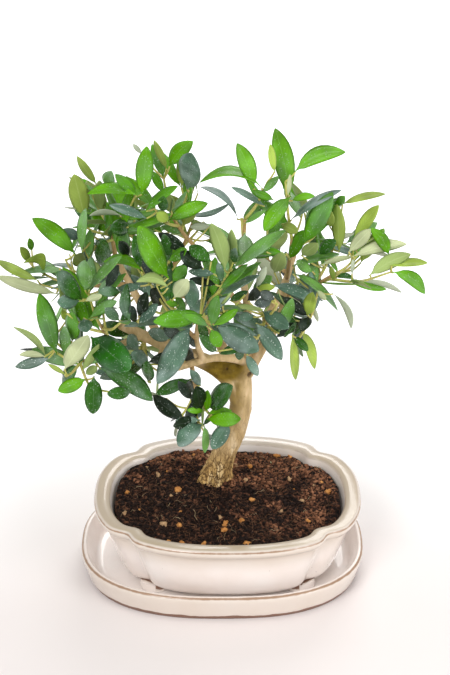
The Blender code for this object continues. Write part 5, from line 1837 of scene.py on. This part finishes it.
class Crown:
    """The twigs and leaves of every mass, set so that no leaf of the growth rule touches another leaf or the
    wood.
    """

    def __init__(self, clearance):
        limb_lines = {limb.name: limb_line(limb, 2 * len(limb.line)) for limb in LIMBS}
        self.clearance = clearance
        self.twigs = {mass.name: mass_twigs(mass, limb_lines) for mass in MASSES}
        self.blades = {mass.name: [] for mass in MASSES}
        self.seats = {mass.name: [] for mass in MASSES}
        self.stalks = []
        self.set_leaves = TouchTest()
        self.leaves = TouchTest()
        self.wood = TouchTest()
        for points, faces in wood_blanks():
            self.wood.add(points, faces)

    def take(self, mass, blade, seat):
        """Keep a leaf and the place that it grows from."""
        self.blades[mass.name].append(blade)
        self.seats[mass.name].append(seat)
        self.leaves.add(*plain_strip(blade, STRIP_SKIP, self.clearance))

    def set_by_hand(self, mass):
        """The leaves of a mass that stand out in the front view, each with a stalk from its twig."""
        draw = random.Random(mass.seed * 3 + 2)
        borne = []
        for line, _, _ in self.twigs[mass.name]:
            for step in range(TWIG_STEPS + 1):
                point = along(line, step / TWIG_STEPS)[0]
                borne.append((point, in_view(point)))
        for leaf in map(Leaf._make, PLAIN_LEAVES.get(mass.name, ())):
            blade, bearer = plain_blade(leaf, borne, draw.random())
            self.take(mass, blade, bearer)
            self.set_leaves.add(*plain_strip(blade, SET_STRIP_SKIP, 0.0))
            end = blade.root + blade.way.normalized() * STALK_OVERLAP
            if (end - bearer).length > STALK_SHORTEST:
                self.stalks.append((shoot_line(bearer, end, STALK_SAG), SPUR_RADII, "twig_young"))

    def has_room(self, mass, blade):
        """Whether a leaf fits its mass, touches nothing and hides no listed leaf."""
        tip = blade.root + blade.way.normalized() * blade.length
        if not inside_reach(tip, mass) or not inside_box(tip):
            return False
        strip = plain_strip(blade, STRIP_SKIP, self.clearance)
        if self.leaves.touches(*strip) or self.wood.touches(*strip):
            return False
        return leaves_crown_clear(blade) and not hides_plain_leaf(blade, self.set_leaves)

    def grow(self, mass):
        """The leaves that grow by the rule on a mass's shoots and side shoots, where there is room."""
        draw = random.Random(mass.seed * 7 + 1)
        shoots = [line for line, _, _ in self.twigs[mass.name][1:]]
        grown = [(line, FIRST_PAIR) for line in shoots]
        grown += [(line, SPUR_FIRST_PAIR) for line in side_spurs(mass, shoots, draw)]
        for line, first in grown:
            before = len(self.blades[mass.name])
            spray = draw.choice(mass.tones)
            for root, heading, facing, size in leaf_places(mass, line, draw, first):
                tone = spray if draw.random() < LEAF_SPRAY_SHARE else draw.choice(mass.tones)
                looks = ("leaf_" + tone, "leaf_" + PARTNER_TONES[tone])
                width = size * draw.uniform(*LEAF_WIDTH_SHARE)
                for turn in LEAF_TURNS:
                    way = heading.copy()
                    way.rotate(Matrix.Rotation(turn, 3, facing.normalized()))
                    arch = size * draw.uniform(*GROWN_ARCHES)
                    fold = draw.uniform(*LEAF_FOLDS)
                    blade = Blade(root, way, facing, size, width, Vector(), arch, fold, *looks)
                    if self.has_room(mass, blade):
                        self.take(mass, blade, root)
                        break
            if first == SPUR_FIRST_PAIR and len(self.blades[mass.name]) > before:
                self.twigs[mass.name].append((line, SPUR_RADII, "twig_young"))
                self.seats[mass.name].append(line[0])

    def show_leaves(self):
        """One piece of leaves for each mass."""
        for mass in MASSES:
            batch = MeshBatch()
            for blade in self.blades[mass.name]:
                add_blade(batch, blade)
            name = "leaves_" + mass.name
            mesh = batch.build(name)
            show_piece(name, mesh, ("foliage_" + mass.name,))

    def show_twigs(self):
        """All stalks, stems and shoots as one piece, the shoots cut back to what they bear."""
        twigs = list(self.stalks)
        for mass in MASSES:
            for line, radii, look in self.twigs[mass.name]:
                kept = worn_back(line, self.seats[mass.name]) if radii is SHOOT_RADII else line
                twigs.append((kept, radii, look))
        batch = MeshBatch()
        for line, radii, look in twigs:
            sides = TWIG_SIDES if radii is TWIG_RADII else SHOOT_SIDES
            points, faces = tube(line, lambda share: mix(*radii, share), sides)
            batch.add(points, faces, look)
        show_piece("twigs", batch.build("twigs"))


def make_crown(settings):
    """Every mass: listed leaves first, then the leaves of the growth rule, with their twigs."""
    crown = Crown(settings.leaf_clearance)
    for mass in MASSES:
        crown.set_by_hand(mass)
    for mass in MASSES:
        crown.grow(mass)
    crown.show_leaves()
    crown.show_twigs()


def worn_back(line, seats):
    """A shoot cut back to the last leaf or side shoot that it bears."""
    last = WORN_SHORTEST
    for step in range(last, WORN_STEPS + 1):
        point = along(line, step / WORN_STEPS)[0]
        if any((seat - point).length < WORN_NEAR for seat in seats):
            last = step
    return [along(line, last / WORN_STEPS * part / (len(line) - 1))[0] for part in range(len(line))]


# Stage

def make_floor(settings):
    """A wide pale floor that fades into the white of the studio."""
    corners = ((-1, -1), (1, -1), (1, 1), (-1, 1))
    points = [(x * FLOOR_HALF, y * FLOOR_HALF, 0.0) for x, y in corners]
    mesh = mesh_of("floor", points, [(0, 1, 2, 3)])
    cover = Finish("floor_cloth", 0.85, Specular_IOR_Level=0.2, Emission_Strength=settings.floor_glow)
    away = cover.combine(cover.place["Object"], FLOOR_NEAR, "DISTANCE", "VectorMath")
    cover.colour(cover.ramp(away, *zip(FLOOR_FADE, (tuple(settings.floor_colour), FLOOR_FAR_COLOUR))))
    cover.fill(cover.shader, Emission_Color=cover.ramp(away, *zip(FLOOR_GLOW_FADE, (0.0, 1.0))))
    mesh.materials.append(cover.material)
    floor = bpy.data.objects.new("floor", mesh)
    floor.location.z = -FLOOR_DROP
    bpy.context.scene.collection.objects.link(floor)


def make_stage(settings):
    """A pale floor, soft studio light and the camera."""
    make_floor(settings)
    scene = bpy.context.scene
    world = bpy.data.worlds.new("studio")
    world.use_nodes = True
    sky = world.node_tree.nodes["Background"]
    sky.inputs["Color"].default_value = (1.0, 1.0, 1.0, 1.0)
    sky.inputs["Strength"].default_value = settings.sky_strength
    scene.world = world
    for lamp in LAMPS:
        add_light(lamp, getattr(settings, lamp.name + "_power"))
    lens = bpy.data.cameras.new("camera")
    lens.sensor_width = SENSOR
    lens.lens = SENSOR * VIEW_FOCAL / PICTURE[1]
    camera = bpy.data.objects.new("camera", lens)
    camera.location = VIEW_POINT
    camera.rotation_euler = (math.pi / 2 - VIEW_DIP, 0.0, 0.0)
    scene.collection.objects.link(camera)
    scene.camera = camera
    scene.view_settings.view_transform = "Standard"


def add_light(lamp, power):
    """A soft square light that faces the crown."""
    light = bpy.data.lights.new(lamp.name, "AREA")
    light.size = lamp.size
    light.energy = power
    item = bpy.data.objects.new(lamp.name, light)
    item.location = lamp.at
    item.rotation_euler = (LIGHT_AIM - item.location).to_track_quat("-Z", "Y").to_euler()
    bpy.context.scene.collection.objects.link(item)


# Settings

class PotSettings(bpy.types.PropertyGroup):
    """Values of the soil in the pot."""

    crumbs: IntProperty(
        name="Crumbs", description="Loose crumbs of peat", default=CRUMBS, min=0)
    fibres: IntProperty(
        name="Fibres", description="Root fibres on the peat", default=FIBRES, min=0)
    grit: IntProperty(
        name="Grit", description="Pellets of grit on the peat", default=GRIT, min=0)


class TreeSettings(bpy.types.PropertyGroup):
    """Values of the bark and the leaves."""

    bark_voxel: FloatProperty(
        name="Bark mesh", description="Size of the bark's mesh cells",
        default=BARK_VOXEL, min=0.0002, precision=5, unit="LENGTH")
    fissure_depth: FloatProperty(
        name="Fissure depth", description="Depth of the fissures at the trunk's foot",
        default=BARK_FISSURE, min=0.0, precision=5, unit="LENGTH")
    leaf_clearance: FloatProperty(
        name="Leaf clearance", description="Room kept round every leaf",
        default=LEAF_CLEARANCE, min=0.0, precision=5, unit="LENGTH")


class StageSettings(bpy.types.PropertyGroup):
    """Values of the floor and the lights."""

    floor_colour: FloatVectorProperty(
        name="Floor", description="Colour of the floor",
        default=(0.83, 0.775, 0.76), min=0.0, max=1.0, subtype="COLOR")
    floor_glow: FloatProperty(
        name="Floor glow", description="Light that the far floor gives off", default=0.5, min=0.0)
    sky_strength: FloatProperty(
        name="Sky", description="Strength of the even light all round", default=0.6, min=0.0)
    key_power: FloatProperty(
        name="Key", description="Power of the light from the left", default=6.4, min=0.0, unit="POWER")
    fill_power: FloatProperty(
        name="Fill", description="Power of the light from the right", default=5.0, min=0.0, unit="POWER")
    back_power: FloatProperty(
        name="Back", description="Power of the light from behind", default=5.0, min=0.0, unit="POWER")


# Operators

class BONSAI_OT_tray(bpy.types.Operator):
    """Make the drip tray"""

    bl_idname = "bonsai.tray"
    bl_label = "Drip Tray"

    def execute(self, context):
        make_tray()
        return {"FINISHED"}


class BONSAI_OT_pot(bpy.types.Operator):
    """Make the glazed pot"""

    bl_idname = "bonsai.pot"
    bl_label = "Pot"

    def execute(self, context):
        make_pot()
        return {"FINISHED"}


class BONSAI_OT_soil(bpy.types.Operator):
    """Make the peat with its crumbs, fibres and grit"""

    bl_idname = "bonsai.soil"
    bl_label = "Soil"

    def execute(self, context):
        make_soil(context.scene.bonsai_pot)
        return {"FINISHED"}


class BONSAI_OT_bark(bpy.types.Operator):
    """Make the bark of the trunk and boughs"""

    bl_idname = "bonsai.bark"
    bl_label = "Bark"

    def execute(self, context):
        make_bark(context.scene.bonsai_tree)
        return {"FINISHED"}


class BONSAI_OT_crown(bpy.types.Operator):
    """Grow the twigs and leaves of every mass of foliage"""

    bl_idname = "bonsai.crown"
    bl_label = "Twigs and Leaves"

    def execute(self, context):
        make_crown(context.scene.bonsai_tree)
        return {"FINISHED"}


class BONSAI_OT_stage(bpy.types.Operator):
    """Set up the floor, lights and camera"""

    bl_idname = "bonsai.stage"
    bl_label = "Stage"

    def execute(self, context):
        make_stage(context.scene.bonsai_stage)
        return {"FINISHED"}


class BONSAI_PT_panel(bpy.types.Panel):
    """The bonsai's pieces and their values"""

    bl_idname = "BONSAI_PT_panel"
    bl_label = "Olive Bonsai"
    bl_space_type = "VIEW_3D"
    bl_region_type = "UI"
    bl_category = "Bonsai"

    def draw(self, context):
        for group, operators in (
            ("bonsai_pot", (BONSAI_OT_tray, BONSAI_OT_pot, BONSAI_OT_soil)),
            ("bonsai_tree", (BONSAI_OT_bark, BONSAI_OT_crown)),
            ("bonsai_stage", (BONSAI_OT_stage,)),
        ):
            box = self.layout.box()
            values = getattr(context.scene, group)
            for name in values.__annotations__:
                box.prop(values, name)
            for operator in operators:
                box.operator(operator.bl_idname)


CLASSES = (
    PotSettings,
    TreeSettings,
    StageSettings,
    BONSAI_OT_tray,
    BONSAI_OT_pot,
    BONSAI_OT_soil,
    BONSAI_OT_bark,
    BONSAI_OT_crown,
    BONSAI_OT_stage,
    BONSAI_PT_panel,
)


def register():
    """Add the classes and their values to Blender."""
    for item in CLASSES:
        bpy.utils.register_class(item)
    bpy.types.Scene.bonsai_pot = PointerProperty(type=PotSettings)
    bpy.types.Scene.bonsai_tree = PointerProperty(type=TreeSettings)
    bpy.types.Scene.bonsai_stage = PointerProperty(type=StageSettings)


def unregister():
    """Take the classes and their values out of Blender."""
    del bpy.types.Scene.bonsai_stage
    del bpy.types.Scene.bonsai_tree
    del bpy.types.Scene.bonsai_pot
    for item in reversed(CLASSES):
        bpy.utils.unregister_class(item)


def main():
    """Make every piece in order."""
    register()
    bpy.ops.bonsai.tray()
    bpy.ops.bonsai.pot()
    bpy.ops.bonsai.soil()
    bpy.ops.bonsai.bark()
    bpy.ops.bonsai.crown()
    bpy.ops.bonsai.stage()


if __name__ == "__main__":
    main()
